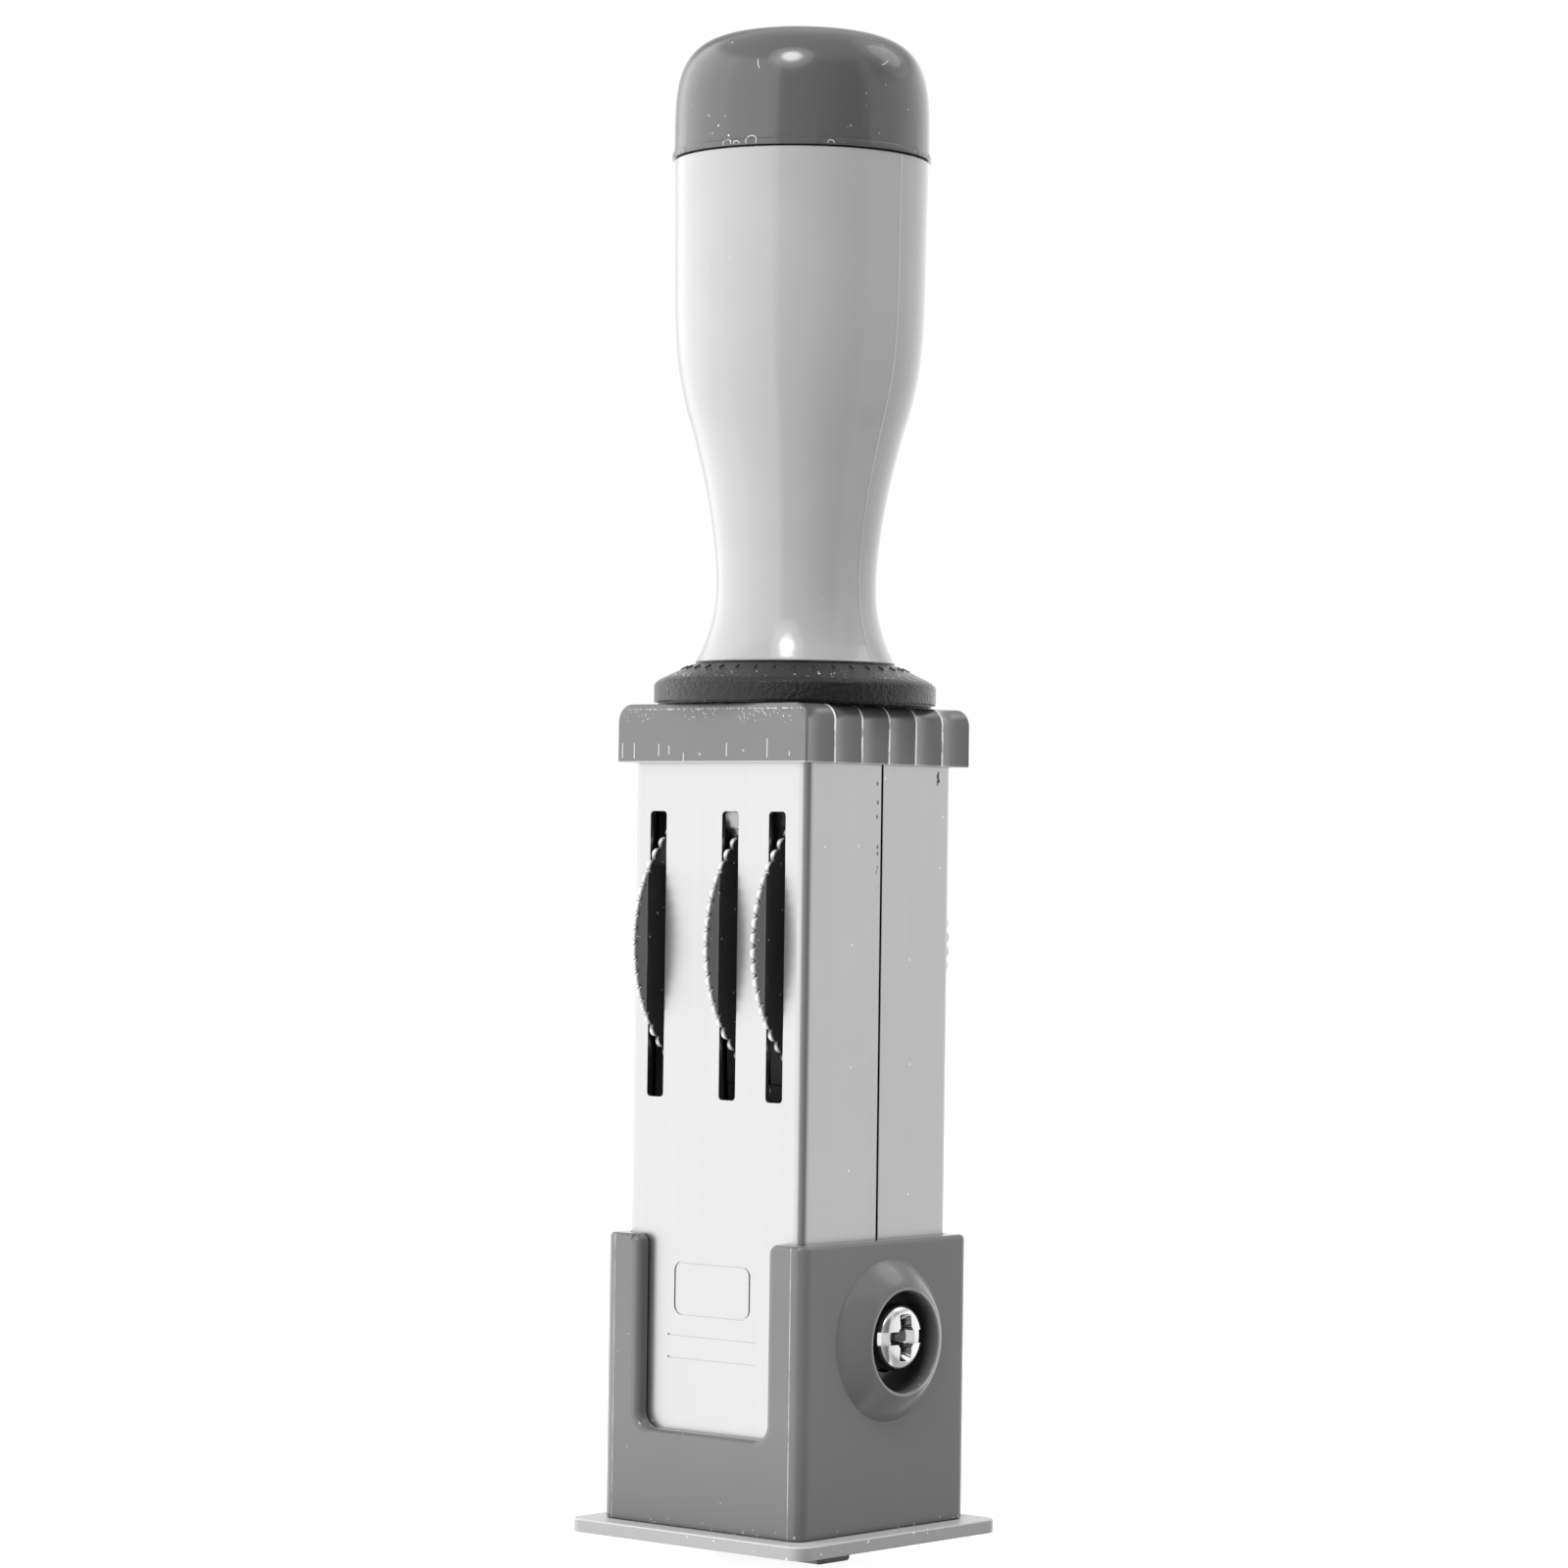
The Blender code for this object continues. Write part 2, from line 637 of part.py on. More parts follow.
def handle_screw():
    """Machine screw from under the frame's bridge up into the threaded insert in the grip."""
    under = FRAME_TOP - BRIDGE_THICK
    washer_low = under - 0.95
    seat = washer_low - 0.1
    low = seat - 2.5
    end = INSERT_TOP - 0.5
    profile = [
        (0, end),
        (HANDLE_SCREW_R - 0.4, end),
        (HANDLE_SCREW_R, end - 0.4),
        (HANDLE_SCREW_R, seat),
        (HANDLE_HEAD_R, seat),
        (HANDLE_HEAD_R, low + 0.9),
        (HANDLE_HEAD_R * 0.8, low + 0.2),
        (0, low),
    ]
    screw = turned("handle_screw", profile, SCREW_STEEL, steps=PIN_STEPS)
    cut(screw, prism("handle_drive", [rounded_rect(5, 0.6, 0.05, steps=1)], low - 1, low + 1.1))
    ring = [circle(HANDLE_HEAD_R + 0.3), circle(HANDLE_SCREW_R + 0.2)]
    prism("screw_washer", ring, washer_low, under - 0.1, SCREW_STEEL)
    insert = [circle(INSERT_R), circle(HANDLE_SCREW_R + FIT_GAP)]
    prism("handle_insert", insert, GRIP_LOW + 0.4, INSERT_TOP, BRASS)


clear_scene()
PARTS = collection("rotary_date_stamp")
CUTTERS = collection("cutters")
STAINLESS = material("brushed_stainless", (0.72, 0.72, 0.73), 0.32, 1.0)
FRAME_STEEL = material("frame_steel", (0.5, 0.5, 0.5), 0.45, 1.0)
PIN_STEEL = material("pin_steel", (0.55, 0.55, 0.56), 0.3, 1.0)
SCREW_STEEL = material("screw_steel", (0.7, 0.7, 0.7), 0.22, 1.0)
BRASS = material("insert_brass", (0.72, 0.55, 0.25), 0.3, 1.0)
SLEEVE_GREY = material("sleeve_plastic", (0.18, 0.18, 0.18), 0.42)
PLATE_GREY = material("plate_plastic", (0.32, 0.32, 0.32), 0.4)
CAP_GREY = material("top_cap_plastic", (0.2, 0.2, 0.2), 0.4)
HANDLE_GREY = material("handle_plastic", (0.5, 0.5, 0.5), 0.2)
CAP_DARK = material("handle_cap_plastic", (0.12, 0.12, 0.12), 0.2)
COLLAR_BLACK = material("collar_plastic", (0.02, 0.02, 0.02), 0.35)
WHEEL_BLACK = material("wheel_plastic", (0.015, 0.015, 0.015), 0.2)
RUBBER = material("type_rubber", (0.08, 0.08, 0.08), 0.6)

base_plate()
lower_sleeve()
clamp_hardware()
CLAMP_HOLE = clamp_cutter("clamp_hole", circle(SCREW_R + 0.15), -12, 12)
shells(CLAMP_HOLE)
inner_frame(CLAMP_HOLE)
nose_bar()
wheel_axle()
for band, (slot_number, first, last, hub_end, band_span) in WHEELS.items():
    thumb_wheel(band, slot_number, first, last, hub_end)
    type_band(band, *band_span)
top_cap()
collar_disc()
handle_grip()
handle_cap()
handle_screw()
shade_round()
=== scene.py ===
"""Looks for the rotary date stamp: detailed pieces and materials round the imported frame.

Sizes are in millimetres until they reach a mesh. +Z is up, and the front face with the wheel slots is on -Y.
"""

from math import asin, atan2, cos, hypot, pi, radians, sin

import bmesh
import bpy
from mathutils import Matrix, Vector


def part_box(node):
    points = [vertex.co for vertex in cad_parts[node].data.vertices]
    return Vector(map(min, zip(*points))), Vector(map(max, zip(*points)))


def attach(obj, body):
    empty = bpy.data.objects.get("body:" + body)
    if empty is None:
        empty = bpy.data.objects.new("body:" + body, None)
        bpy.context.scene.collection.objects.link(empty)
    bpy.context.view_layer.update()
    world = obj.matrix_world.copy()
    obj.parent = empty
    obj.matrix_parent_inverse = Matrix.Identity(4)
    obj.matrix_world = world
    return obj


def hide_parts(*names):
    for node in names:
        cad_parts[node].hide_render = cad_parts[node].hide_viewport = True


MM = 0.001
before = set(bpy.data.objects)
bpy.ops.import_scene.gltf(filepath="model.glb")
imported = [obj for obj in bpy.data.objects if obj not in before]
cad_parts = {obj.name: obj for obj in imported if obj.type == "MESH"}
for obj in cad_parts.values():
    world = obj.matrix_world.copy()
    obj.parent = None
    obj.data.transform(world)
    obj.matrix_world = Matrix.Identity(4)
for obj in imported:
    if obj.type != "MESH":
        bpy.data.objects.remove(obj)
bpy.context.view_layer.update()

# ---- sizes shared with the frame ----

HOUSING_HALF = 10.29
HOUSING_CORNER = 1.0
SHEET = 0.5
SEAM_Y = 0.16
SEAM_GAP = 0.24
SLOT_CENTRES = (-7.16, 1.42, 6.93)
SLOT_WIDE = 1.9
SLOT_SPAN = (41.6, 67.25)
AXLE = (0.0, 0.6, 55.45)
WHEEL_R = 13.8
TEETH = 64
TOOTH_DEEP = 0.48
DISC_SPAN = (-0.12, 0.35)  # the disc's two faces, from its place along X
DRUM_R = 5.9
HUB_R = 2.6
BORE_R = 1.57
# For each wheel: its disc's place along X, its drum's two ends, and where its hub ends if it has one.
WHEELS = {
    "year": (-7.61, -7.35, -3.0, None),
    "month": (0.97, -2.85, 0.75, 1.9),
    "day": (6.48, 2.0, 6.25, None),
}
# For each band: its two edges along X, and the number it prints.
BANDS = {"year": (-6.4, -3.2, "26"), "month": (-2.7, 0.4, "11"), "day": (2.4, 6.0, "24")}
CLAMP_Y = 0.36
CLAMP_Z = 20.73
CLAMP_HOLE_R = 1.6
BOSS_Z = 20.35
SLEEVE_HALF = 11.765
SLEEVE_CORNER = 1.35
RECESS_FLOOR = 11.2
RECESS_R = 4.5
SCREW_TOP = RECESS_FLOOR + 2.5
CAP_HALF = (11.2, 11.5)
FLUTES = 6
CAP_ROUND = 0.2  # how far the rounding of its ends reaches along Y
CAP_PITCH = 2 * (CAP_HALF[1] - CAP_ROUND) / FLUTES
DOME_FOOT = 126.4
BORE_HALF = HOUSING_HALF + 0.1  # the cap and the sleeve fit over the housing with this bore
BORE_CORNER = 1.0
CLEAR = 1.0  # how far a cutter reaches past what it cuts


def span(node):
    """Lowest and highest corner of a CAD node, in millimetres."""
    low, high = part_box(node)
    return low / MM, high / MM


# ---- mesh tools ----

TURNS = {
    "X": Matrix(((0, 0, 1), (1, 0, 0), (0, 1, 0))),
    "Y": Matrix(((1, 0, 0), (0, 0, -1), (0, 1, 0))),
    "Z": Matrix.Identity(3),
}


def solid(name, points, faces, axis="Z", centre=(0, 0, 0)):
    """Mesh object from points in millimetres, turned so that its local Z lies along the axis."""
    turn, shift = TURNS[axis], Vector(centre)
    mesh = bpy.data.meshes.new(name)
    mesh.from_pydata([(turn @ Vector(p) + shift) * MM for p in points], [], faces)
    work = bmesh.new()
    work.from_mesh(mesh)
    bmesh.ops.recalc_face_normals(work, faces=work.faces)
    work.to_mesh(mesh)
    work.free()
    obj = bpy.data.objects.new(name, mesh)
    bpy.context.scene.collection.objects.link(obj)
    return obj


def loft(name, loops, axis="Z", centre=(0, 0, 0), ring=False):
    """Closed skin through loops of equally many points. A ring joins the last loop to the first."""
    count = len(loops[0])
    points = [p for loop in loops for p in loop]
    starts = [i * count for i in range(len(loops))]
    pairs = list(zip(starts, starts[1:]))
    if ring:
        pairs.append((starts[-1], starts[0]))
    faces = []
    for a, b in pairs:
        for i in range(count):
            j = (i + 1) % count
            faces.append((a + i, a + j, b + j, b + i))
    if not ring:
        faces.append(list(range(count)))
        faces.append(list(range(starts[-1], starts[-1] + count)))
    return solid(name, points, faces, axis, centre)


def lathe(name, profile, axis="Z", centre=(0, 0, 0), steps=160, angles=None, swell=None):
    """Solid of revolution. A profile that starts and ends on the axis closes there; any other is a ring."""
    angles = angles or [2 * pi * i / steps for i in range(steps)]
    points, rings = [], []
    for radius, height in profile:
        if radius == 0:
            rings.append([len(points)])
            points.append((0, 0, height))
            continue
        rings.append([])
        for angle in angles:
            out = radius + (swell(angle, height) if swell else 0)
            rings[-1].append(len(points))
            points.append((out * cos(angle), out * sin(angle), height))
    pairs = list(zip(rings, rings[1:]))
    if profile[0][0] and profile[-1][0]:
        pairs.append((rings[-1], rings[0]))
    faces = []
    for first, second in pairs:
        for i in range(len(angles)):
            j = (i + 1) % len(angles)
            picks = ((first, i), (first, j), (second, j), (second, i))
            faces.append(list(dict.fromkeys(ring[k % len(ring)] for ring, k in picks)))
    return solid(name, points, faces, axis, centre)


def arc(cx, cy, radius, start, end, steps):
    """Points of an arc from one angle to another, in degrees."""
    points = []
    for i in range(steps + 1):
        angle = radians(start + (end - start) * i / steps)
        points.append((cx + radius * cos(angle), cy + radius * sin(angle)))
    return points


def rounded_rect(half_x, half_y, radius, cx=0.0, cy=0.0, steps=8):
    points = []
    for i, (sx, sy) in enumerate(((1, 1), (-1, 1), (-1, -1), (1, -1))):
        corner_x, corner_y = cx + sx * (half_x - radius), cy + sy * (half_y - radius)
        points += arc(corner_x, corner_y, radius, 90 * i, 90 * i + 90, steps)
    return points


def circle(radius, steps):
    return arc(0.0, 0.0, radius, 0, 360, steps)[:-1]


def lifted(outline, level):
    return [(u, v, level) for u, v in outline]


def slab(name, outline, low, high, axis="Z", centre=(0, 0, 0)):
    """Straight prism over an outline, between two levels along the axis."""
    return loft(name, [lifted(outline, low), lifted(outline, high)], axis, centre)


def hoop(name, outer, inner, low, high, axis):
    """Frame between two outlines of equally many points."""
    sections = [(outer, low), (outer, high), (inner, high), (inner, low)]
    return loft(name, [lifted(*section) for section in sections], axis, ring=True)


def smooth_line(points, per_span):
    """A curve through the points, with each span's slopes taken from its neighbours."""
    rows = [Vector(p) for p in points]
    made = []
    for i in range(len(rows) - 1):
        before, start = rows[max(i - 1, 0)], rows[i]
        end, after = rows[i + 1], rows[min(i + 2, len(rows) - 1)]
        tall = end.y - start.y
        slope_in = (end - before) * (tall / (end.y - before.y))
        slope_out = (after - start) * (tall / (after.y - start.y))
        for step in range(per_span):
            t = step / per_span
            made.append(
                start * (2 * t**3 - 3 * t**2 + 1)
                + slope_in * (t**3 - 2 * t**2 + t)
                + end * (3 * t**2 - 2 * t**3)
                + slope_out * (t**3 - t**2)
            )
    made.append(rows[-1])
    return [tuple(p) for p in made]


def combine(obj, other, operation="DIFFERENCE"):
    """Adds a Boolean modifier, and gives back the helper that it uses."""
    boolean = obj.modifiers.new(operation.title(), "BOOLEAN")
    boolean.operation = operation
    boolean.object = other
    boolean.solver = "EXACT"
    return other


def settle(obj, *helpers):
    """Makes the modifiers' result the object's own mesh, and removes the helpers."""
    graph = bpy.context.evaluated_depsgraph_get()
    mesh = bpy.data.meshes.new_from_object(obj.evaluated_get(graph))
    obj.modifiers.clear()
    obj.data = mesh
    for helper in helpers:
        bpy.data.objects.remove(helper, do_unlink=True)
    return obj


def carve(obj, *cutters):
    return settle(obj, *[combine(obj, cutter) for cutter in cutters])


def weld(obj, *others):
    return settle(obj, *[combine(obj, other, "UNION") for other in others])


def soften(obj, width, segments=3, angle=40):
    """Rounds the sharp edges."""
    edges = obj.modifiers.new("Edges", "BEVEL")
    edges.width = width * MM
    edges.segments = segments
    edges.limit_method = "ANGLE"
    edges.angle_limit = radians(angle)
    edges.use_clamp_overlap = True
    return settle(obj)


def half_turn(obj):
    """Turns a mesh about the clamp's vertical line, from the +X side to the -X side."""
    pivot = Vector((0, CLAMP_Y, 0)) * MM
    spin = Matrix.Translation(pivot) @ Matrix.Rotation(pi, 4, "Z") @ Matrix.Translation(-pivot)
    obj.data.transform(spin)
    return obj


def finished(obj, body, slot, look, *nodes, angle=34):
    """Shades a piece, gives it its material, and says where it belongs in the frame."""
    obj.data.materials.clear()
    obj.data.materials.append(look)
    obj.data.shade_smooth()
    obj.data.set_sharp_from_angle(angle=radians(angle))
    weighted = obj.modifiers.new("Shading", "WEIGHTED_NORMAL")
    weighted.keep_sharp = True
    settle(obj)
    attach(obj, body)
    if nodes:
        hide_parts(*nodes)
    return obj


# ---- material tools ----

# Near black that painted shade mixes towards.
PAINTED_SHADE_COLOUR = (0.01, 0.01, 0.01)
MARK_ROUGH = 0.6


def node(tree, kind, inputs=None, **settings):
    made = tree.nodes.new("ShaderNode" + kind)
    for key, value in settings.items():
        setattr(made, key, value)
    for key, value in (inputs or {}).items():
        socket = made.inputs[key]
        if isinstance(value, bpy.types.NodeSocket):
            tree.links.new(value, socket)
        else:
            socket.default_value = value
    return made


def calc(tree, operation, *values):
    return node(tree, "Math", dict(enumerate(values)), operation=operation).outputs[0]


def remap(tree, value, low, high, to_low=0.0, to_high=1.0):
    inputs = {"Value": value, "From Min": low, "From Max": high, "To Min": to_low, "To Max": to_high}
    return node(tree, "MapRange", inputs, clamp=True).outputs["Result"]


def times(tree, *values):
    total = values[0]
    for value in values[1:]:
        total = calc(tree, "MULTIPLY", total, value)
    return total


def both(tree, *masks):
    """Several masks as one: the highest of them at each point."""
    total = masks[0]
    for mask in masks[1:]:
        total = calc(tree, "MAXIMUM", total, mask)
    return total


def grey(level):
    return (level, level, level)


def mix_colour(tree, factor, first, second):
    """Colour between two others, each a socket or red, green and blue."""
    first, second = [c if isinstance(c, bpy.types.NodeSocket) else (*c, 1) for c in (first, second)]
    return node(tree, "Mix", {"Factor": factor, 6: first, 7: second}, data_type="RGBA").outputs[2]


def mix_value(tree, factor, first, second):
    return node(tree, "Mix", {0: factor, 2: first, 3: second}, data_type="FLOAT").outputs[0]


def object_place(tree):
    """Object coordinates in metres."""
    return node(tree, "TexCoord").outputs["Object"]


def split(tree, vector):
    return node(tree, "SeparateXYZ", {0: vector}).outputs


def stretched(tree, scale):
    """Object coordinates in metres, scaled along each axis."""
    inputs = {0: object_place(tree), 1: scale}
    return node(tree, "VectorMath", inputs, operation="MULTIPLY").outputs[0]


def noise(tree, scale, detail=2.0, rough=0.5, stretch=(1, 1, 1)):
    inputs = {"Vector": stretched(tree, stretch), "Scale": scale, "Detail": detail, "Roughness": rough}
    return node(tree, "TexNoise", inputs).outputs["Fac"]


def specks(tree, scale, size, share, stretch=(1, 1, 1)):
    """Sparse marks: 1 inside a mark, 0 outside. Stretching makes them scratches."""
    inputs = {"Vector": stretched(tree, stretch), "Scale": scale}
    cells = node(tree, "TexVoronoi", inputs, feature="F1")
    pick = node(tree, "SeparateColor", {0: cells.outputs["Color"]})
    chosen = calc(tree, "LESS_THAN", pick.outputs[0], share)
    reach = times(tree, pick.outputs[1], size)
    inside = remap(tree, calc(tree, "SUBTRACT", reach, cells.outputs["Distance"]), 0.0, size * 0.25)
    return times(tree, inside, chosen)


def streaks(tree, scale, size, share, tall, across=0):
    """Sparse marks on an upright face.

    Across is the level axis that runs along the face. A tall under 1 stretches the marks upwards.
    """
    parts = split(tree, object_place(tree))
    flat = node(tree, "CombineXYZ", {0: parts[across], 1: times(tree, parts[2], tall)})
    inputs = {"Vector": flat.outputs[0], "Scale": scale}
    cells = node(tree, "TexVoronoi", inputs, feature="F1", voronoi_dimensions="2D")
    pick = node(tree, "SeparateColor", {0: cells.outputs["Color"]})
    chosen = calc(tree, "LESS_THAN", pick.outputs[0], share)
    inside = remap(tree, cells.outputs["Distance"], size, size * 0.6)
    return times(tree, inside, chosen)


def rakes(tree, scale, size, share, low, tall):
    """Upright scratches on a face that looks along Y, all between low and tall above it, in millimetres."""
    parts = split(tree, object_place(tree))
    inputs = {"W": parts[0], "Scale": scale}
    cells = node(tree, "TexVoronoi", inputs, feature="F1", voronoi_dimensions="1D")
    pick = node(tree, "SeparateColor", {0: cells.outputs["Color"]})
    chosen = calc(tree, "LESS_THAN", pick.outputs[0], share)
    inside = remap(tree, cells.outputs["Distance"], size, size * 0.6)
    above = calc(tree, "SUBTRACT", times(tree, parts[2], 1 / MM), low)
    top = times(tree, pick.outputs[1], tall)
    start = times(tree, pick.outputs[2], tall * 0.3)
    fits = times(tree, calc(tree, "LESS_THAN", above, top), calc(tree, "GREATER_THAN", above, start))
    return times(tree, inside, chosen, fits)


def curl(tree, centre, radius, width):
    """A thin ring where a ball round the centre meets the surface. Sizes are in millimetres."""
    off = calc(tree, "ABSOLUTE", calc(tree, "SUBTRACT", distance_from(tree, centre), radius))
    return remap(tree, off, width, width * 0.4)


def shader_of(name, colour, roughness, metallic=0.0, specular=0.5):
    """A new material, its node tree and its shader."""
    made = bpy.data.materials.new(name)
    made.use_nodes = True
    shader = made.node_tree.nodes["Principled BSDF"]
    shader.inputs["Base Color"].default_value = (*colour, 1.0)
    shader.inputs["Roughness"].default_value = roughness
    shader.inputs["Metallic"].default_value = metallic
    shader.inputs["Specular IOR Level"].default_value = specular
    return made, made.node_tree, shader


def tint(tree, shader, colour, amount, marks=None, mark_colour=None, shade=None):
    """Base colour that varies by amount, with marks in a second colour and painted shade, near black, where
    shade is high.
    """
    dark = [c * (1 - amount) for c in colour]
    light = [c * (1 + amount) for c in colour]
    mixed = mix_colour(tree, noise(tree, 160, 3.0), dark, light)
    if marks is not None:
        mixed = mix_colour(tree, marks, mixed, mark_colour)
    # Painted shade: the colour goes near black where the shade mask is high.
    if shade is not None:
        mixed = mix_colour(tree, shade, mixed, PAINTED_SHADE_COLOUR)
    tree.links.new(mixed, shader.inputs["Base Color"])


def bumps(tree, shader, layers):
    """Stacks bump layers, each (height, strength, distance in millimetres)."""
    normal = None
    for height, strength, distance in layers:
        inputs = {"Height": height, "Strength": strength, "Distance": distance * MM}
        if normal is not None:
            inputs["Normal"] = normal
        normal = node(tree, "Bump", inputs).outputs[0]
    tree.links.new(normal, shader.inputs["Normal"])


def vary(tree, shader, scale, low, high, marks=None):
    """Roughness that wanders between two values and rises in the marks."""
    rough = remap(tree, noise(tree, scale, 3.0), 0.15, 0.85, low, high)
    if marks is not None:
        rough = mix_value(tree, marks, rough, MARK_ROUGH)
    tree.links.new(rough, shader.inputs["Roughness"])


def where(tree, axis, low, high):
    """1 where an object coordinate, in millimetres, is past high, and 0 before low."""
    return remap(tree, split(tree, object_place(tree))[axis], low * MM, high * MM)


def between(tree, axis, low, high, soft=0.03):
    """1 where an object coordinate, in millimetres, lies between low and high."""
    rise = where(tree, axis, low - soft, low + soft)
    fall = where(tree, axis, high + soft, high - soft)
    return times(tree, rise, fall)


def distance_from(tree, point, along=(1, 1, 1)):
    """Millimetres from a point, counted along the chosen axes only."""
    inputs = {0: object_place(tree), 1: [c * MM for c in point]}
    away = node(tree, "VectorMath", inputs, operation="SUBTRACT").outputs[0]
    flat = node(tree, "VectorMath", {0: away, 1: along}, operation="MULTIPLY").outputs[0]
    reach = node(tree, "VectorMath", {0: flat}, operation="LENGTH").outputs["Value"]
    return times(tree, reach, 1 / MM)


def off_middle(tree, axis, low, high, to_low=0.0, to_high=1.0):
    """Ramp over the distance, in millimetres, from the stamp's middle plane across an axis."""
    along = [1.0 if i == axis else 0.0 for i in range(3)]
    return remap(tree, distance_from(tree, (0, 0, 0), along), low, high, to_low, to_high)


def plastic(
    name,
    level,
    rough,
    dust=0.25,
    scratches=0.3,
    grain=0.15,
    mark=0.5,
    specular=0.5,
    extra=None,
    rise=0.02,
    shade=None,
):
    """Grey moulded plastic: faint flow in its colour, fine grain, dust and short scratches.

    Level and mark are the greys of the plastic and of its marks. Extra draws the part's own marks, some of
    them painted highlights, shade draws painted shade, and rise is how far marks stand out, in millimetres.
    """
    made, tree, shader = shader_of(name, grey(level), rough, specular=specular)
    dots = times(tree, specks(tree, 800, 0.13, 0.3), dust)
    lines = times(tree, specks(tree, 330, 0.05, 0.35, (1.6, 1.6, 0.4)), scratches)
    marks = both(tree, dots, lines)
    if extra is not None:
        marks = both(tree, marks, extra(tree))
    tint(tree, shader, grey(level), 0.05, marks, grey(mark), shade(tree) if shade else None)
    vary(tree, shader, 420, rough * 0.85, rough * 1.2, marks)
    fine, flow = noise(tree, 5200, 2.0), noise(tree, 240, 2.0)
    bumps(tree, shader, [(fine, grain, 0.02), (flow, 0.25, 0.05), (marks, 0.3, rise)])
    return made


def cap_scuffs_and_highlights(tree):
    """Painted highlights on the ridges and lower edge, a rubbed top edge, crumbs under it, short upright
    scratches over the lower.
    """
    low, high = span("top_cap")
    half_x, half_y = CAP_HALF
    across = split(tree, object_place(tree))[1]
    wander = times(tree, calc(tree, "SUBTRACT", noise(tree, 500, 2.0), 0.5), 0.1 * MM)
    moved = calc(tree, "ADD", across, wander)
    phase = calc(tree, "DIVIDE", moved, CAP_PITCH * MM)
    off = calc(tree, "ABSOLUTE", calc(tree, "SUBTRACT", phase, calc(tree, "ROUND", phase)))
    # Painted highlight: a thin light line on each flute's ridge.
    crest = remap(tree, off, 0.036, 0.024)
    outside = off_middle(tree, 0, half_x - 2.2, half_x - 1.9)
    ridge_highlights = times(tree, crest, outside, off_middle(tree, 1, half_y - 0.9, half_y - 1.2))
    # Patchy breakup for the painted ridge highlight and the rubbed top edge.
    highlight_and_wear = remap(tree, noise(tree, 700, 2.0), 0.3, 0.45)
    ends = off_middle(tree, 1, half_y - 0.3, half_y - 0.15)
    broken = remap(tree, noise(tree, 4200, 3.0), 0.48, 0.58)
    edge = times(tree, between(tree, 2, high.z - 0.52, high.z - 0.46), broken, ends, 0.8)
    patches = remap(tree, noise(tree, 260, 2.0), 0.47, 0.6)
    near_top = between(tree, 2, high.z - 1.55, high.z - 0.45, 0.3)
    crumbs = times(tree, streaks(tree, 4600, 0.3, 0.22, 1.0), patches, near_top, ends, 0.7)
    upright = times(tree, rakes(tree, 600, 0.042, 0.75, low.z + 0.09, 2.6), ends, 0.4)
    # Painted highlight: a light band along the lower edge.
    foot = times(tree, between(tree, 2, low.z - 0.21, low.z + 0.11), 0.35)
    return both(tree, times(tree, ridge_highlights, highlight_and_wear, 0.95), times(tree, edge, highlight_and_wear), crumbs, upright, foot)


def sleeve_marks_and_highlight(tree):
    """Painted highlight on the bosses' crests, specks in their recesses, crumbs at the foot, and upright
    mould lines.
    """
    from_axis = distance_from(tree, (0, CLAMP_Y, BOSS_Z), (0, 1, 1))
    # Painted highlight on the crest, stronger on its +Y half.
    far = both(tree, where(tree, 1, CLAMP_Y + 1.0, CLAMP_Y + 2.5), 0.35)
    near_side = remap(tree, from_axis, RECESS_R + 0.1, RECESS_R + 0.16)
    far_side = remap(tree, from_axis, RECESS_R + 0.36, RECESS_R + 0.28)
    crest = times(tree, near_side, far_side, far, 0.7)
    proud = off_middle(tree, 0, SLEEVE_HALF + 1.6, SLEEVE_HALF + 1.7)
    inner = times(tree, remap(tree, from_axis, RECESS_R + 0.05, RECESS_R), specks(tree, 1500, 0.2, 0.5), 0.5)
    low = span("lower_sleeve")[0].z
    foot = times(tree, between(tree, 2, low - 0.14, low + 0.66, 0.3), specks(tree, 1900, 0.34, 0.35), 0.8)
    flat = SLEEVE_HALF - SLEEVE_CORNER
    start, stop = off_middle(tree, 0, flat - 0.09, flat - 0.03), off_middle(tree, 0, flat + 0.08, flat + 0.02)
    faces = off_middle(tree, 1, SLEEVE_HALF - 0.12, SLEEVE_HALF - 0.08)
    mould = times(tree, start, stop, faces, remap(tree, noise(tree, 600, 3.0), 0.3, 0.7, 0.1, 0.7))
    wall = remap(tree, from_axis, RECESS_R - 0.6, RECESS_R - 0.3)
    return both(tree, times(tree, crest, proud), times(tree, inner, wall), foot, mould)


def sleeve_painted_shade(tree):
    """Painted shade: dark depths of the screw recesses, and a faint darkening towards the plate."""
    from_axis = distance_from(tree, (0, CLAMP_Y, BOSS_Z), (0, 1, 1))
    deep = off_middle(tree, 0, SLEEVE_HALF + 1.8, SLEEVE_HALF + 0.3, 0.0, 0.85)
    recess = times(tree, remap(tree, from_axis, RECESS_R + 0.06, RECESS_R + 0.02), deep)
    low = span("lower_sleeve")[0].z
    # Painted shade: darker towards the plate.
    above = where(tree, 2, low - 0.04, 15.0)
    return both(tree, recess, times(tree, calc(tree, "SUBTRACT", 1.0, above), 0.22))


def plate_crumbs_and_highlight(tree):
    """Patches of fine crumbs, and a lighter upper edge that is a painted highlight."""
    patches = remap(tree, noise(tree, 180, 2.0), 0.48, 0.6)
    crumbs = times(tree, specks(tree, 1900, 0.3, 0.35), patches, 0.8)
    top = span("base_plate")[1].z
    # Painted highlight along the upper edge.
    return both(tree, crumbs, times(tree, between(tree, 2, top - 0.13, top + 0.11), 0.3))


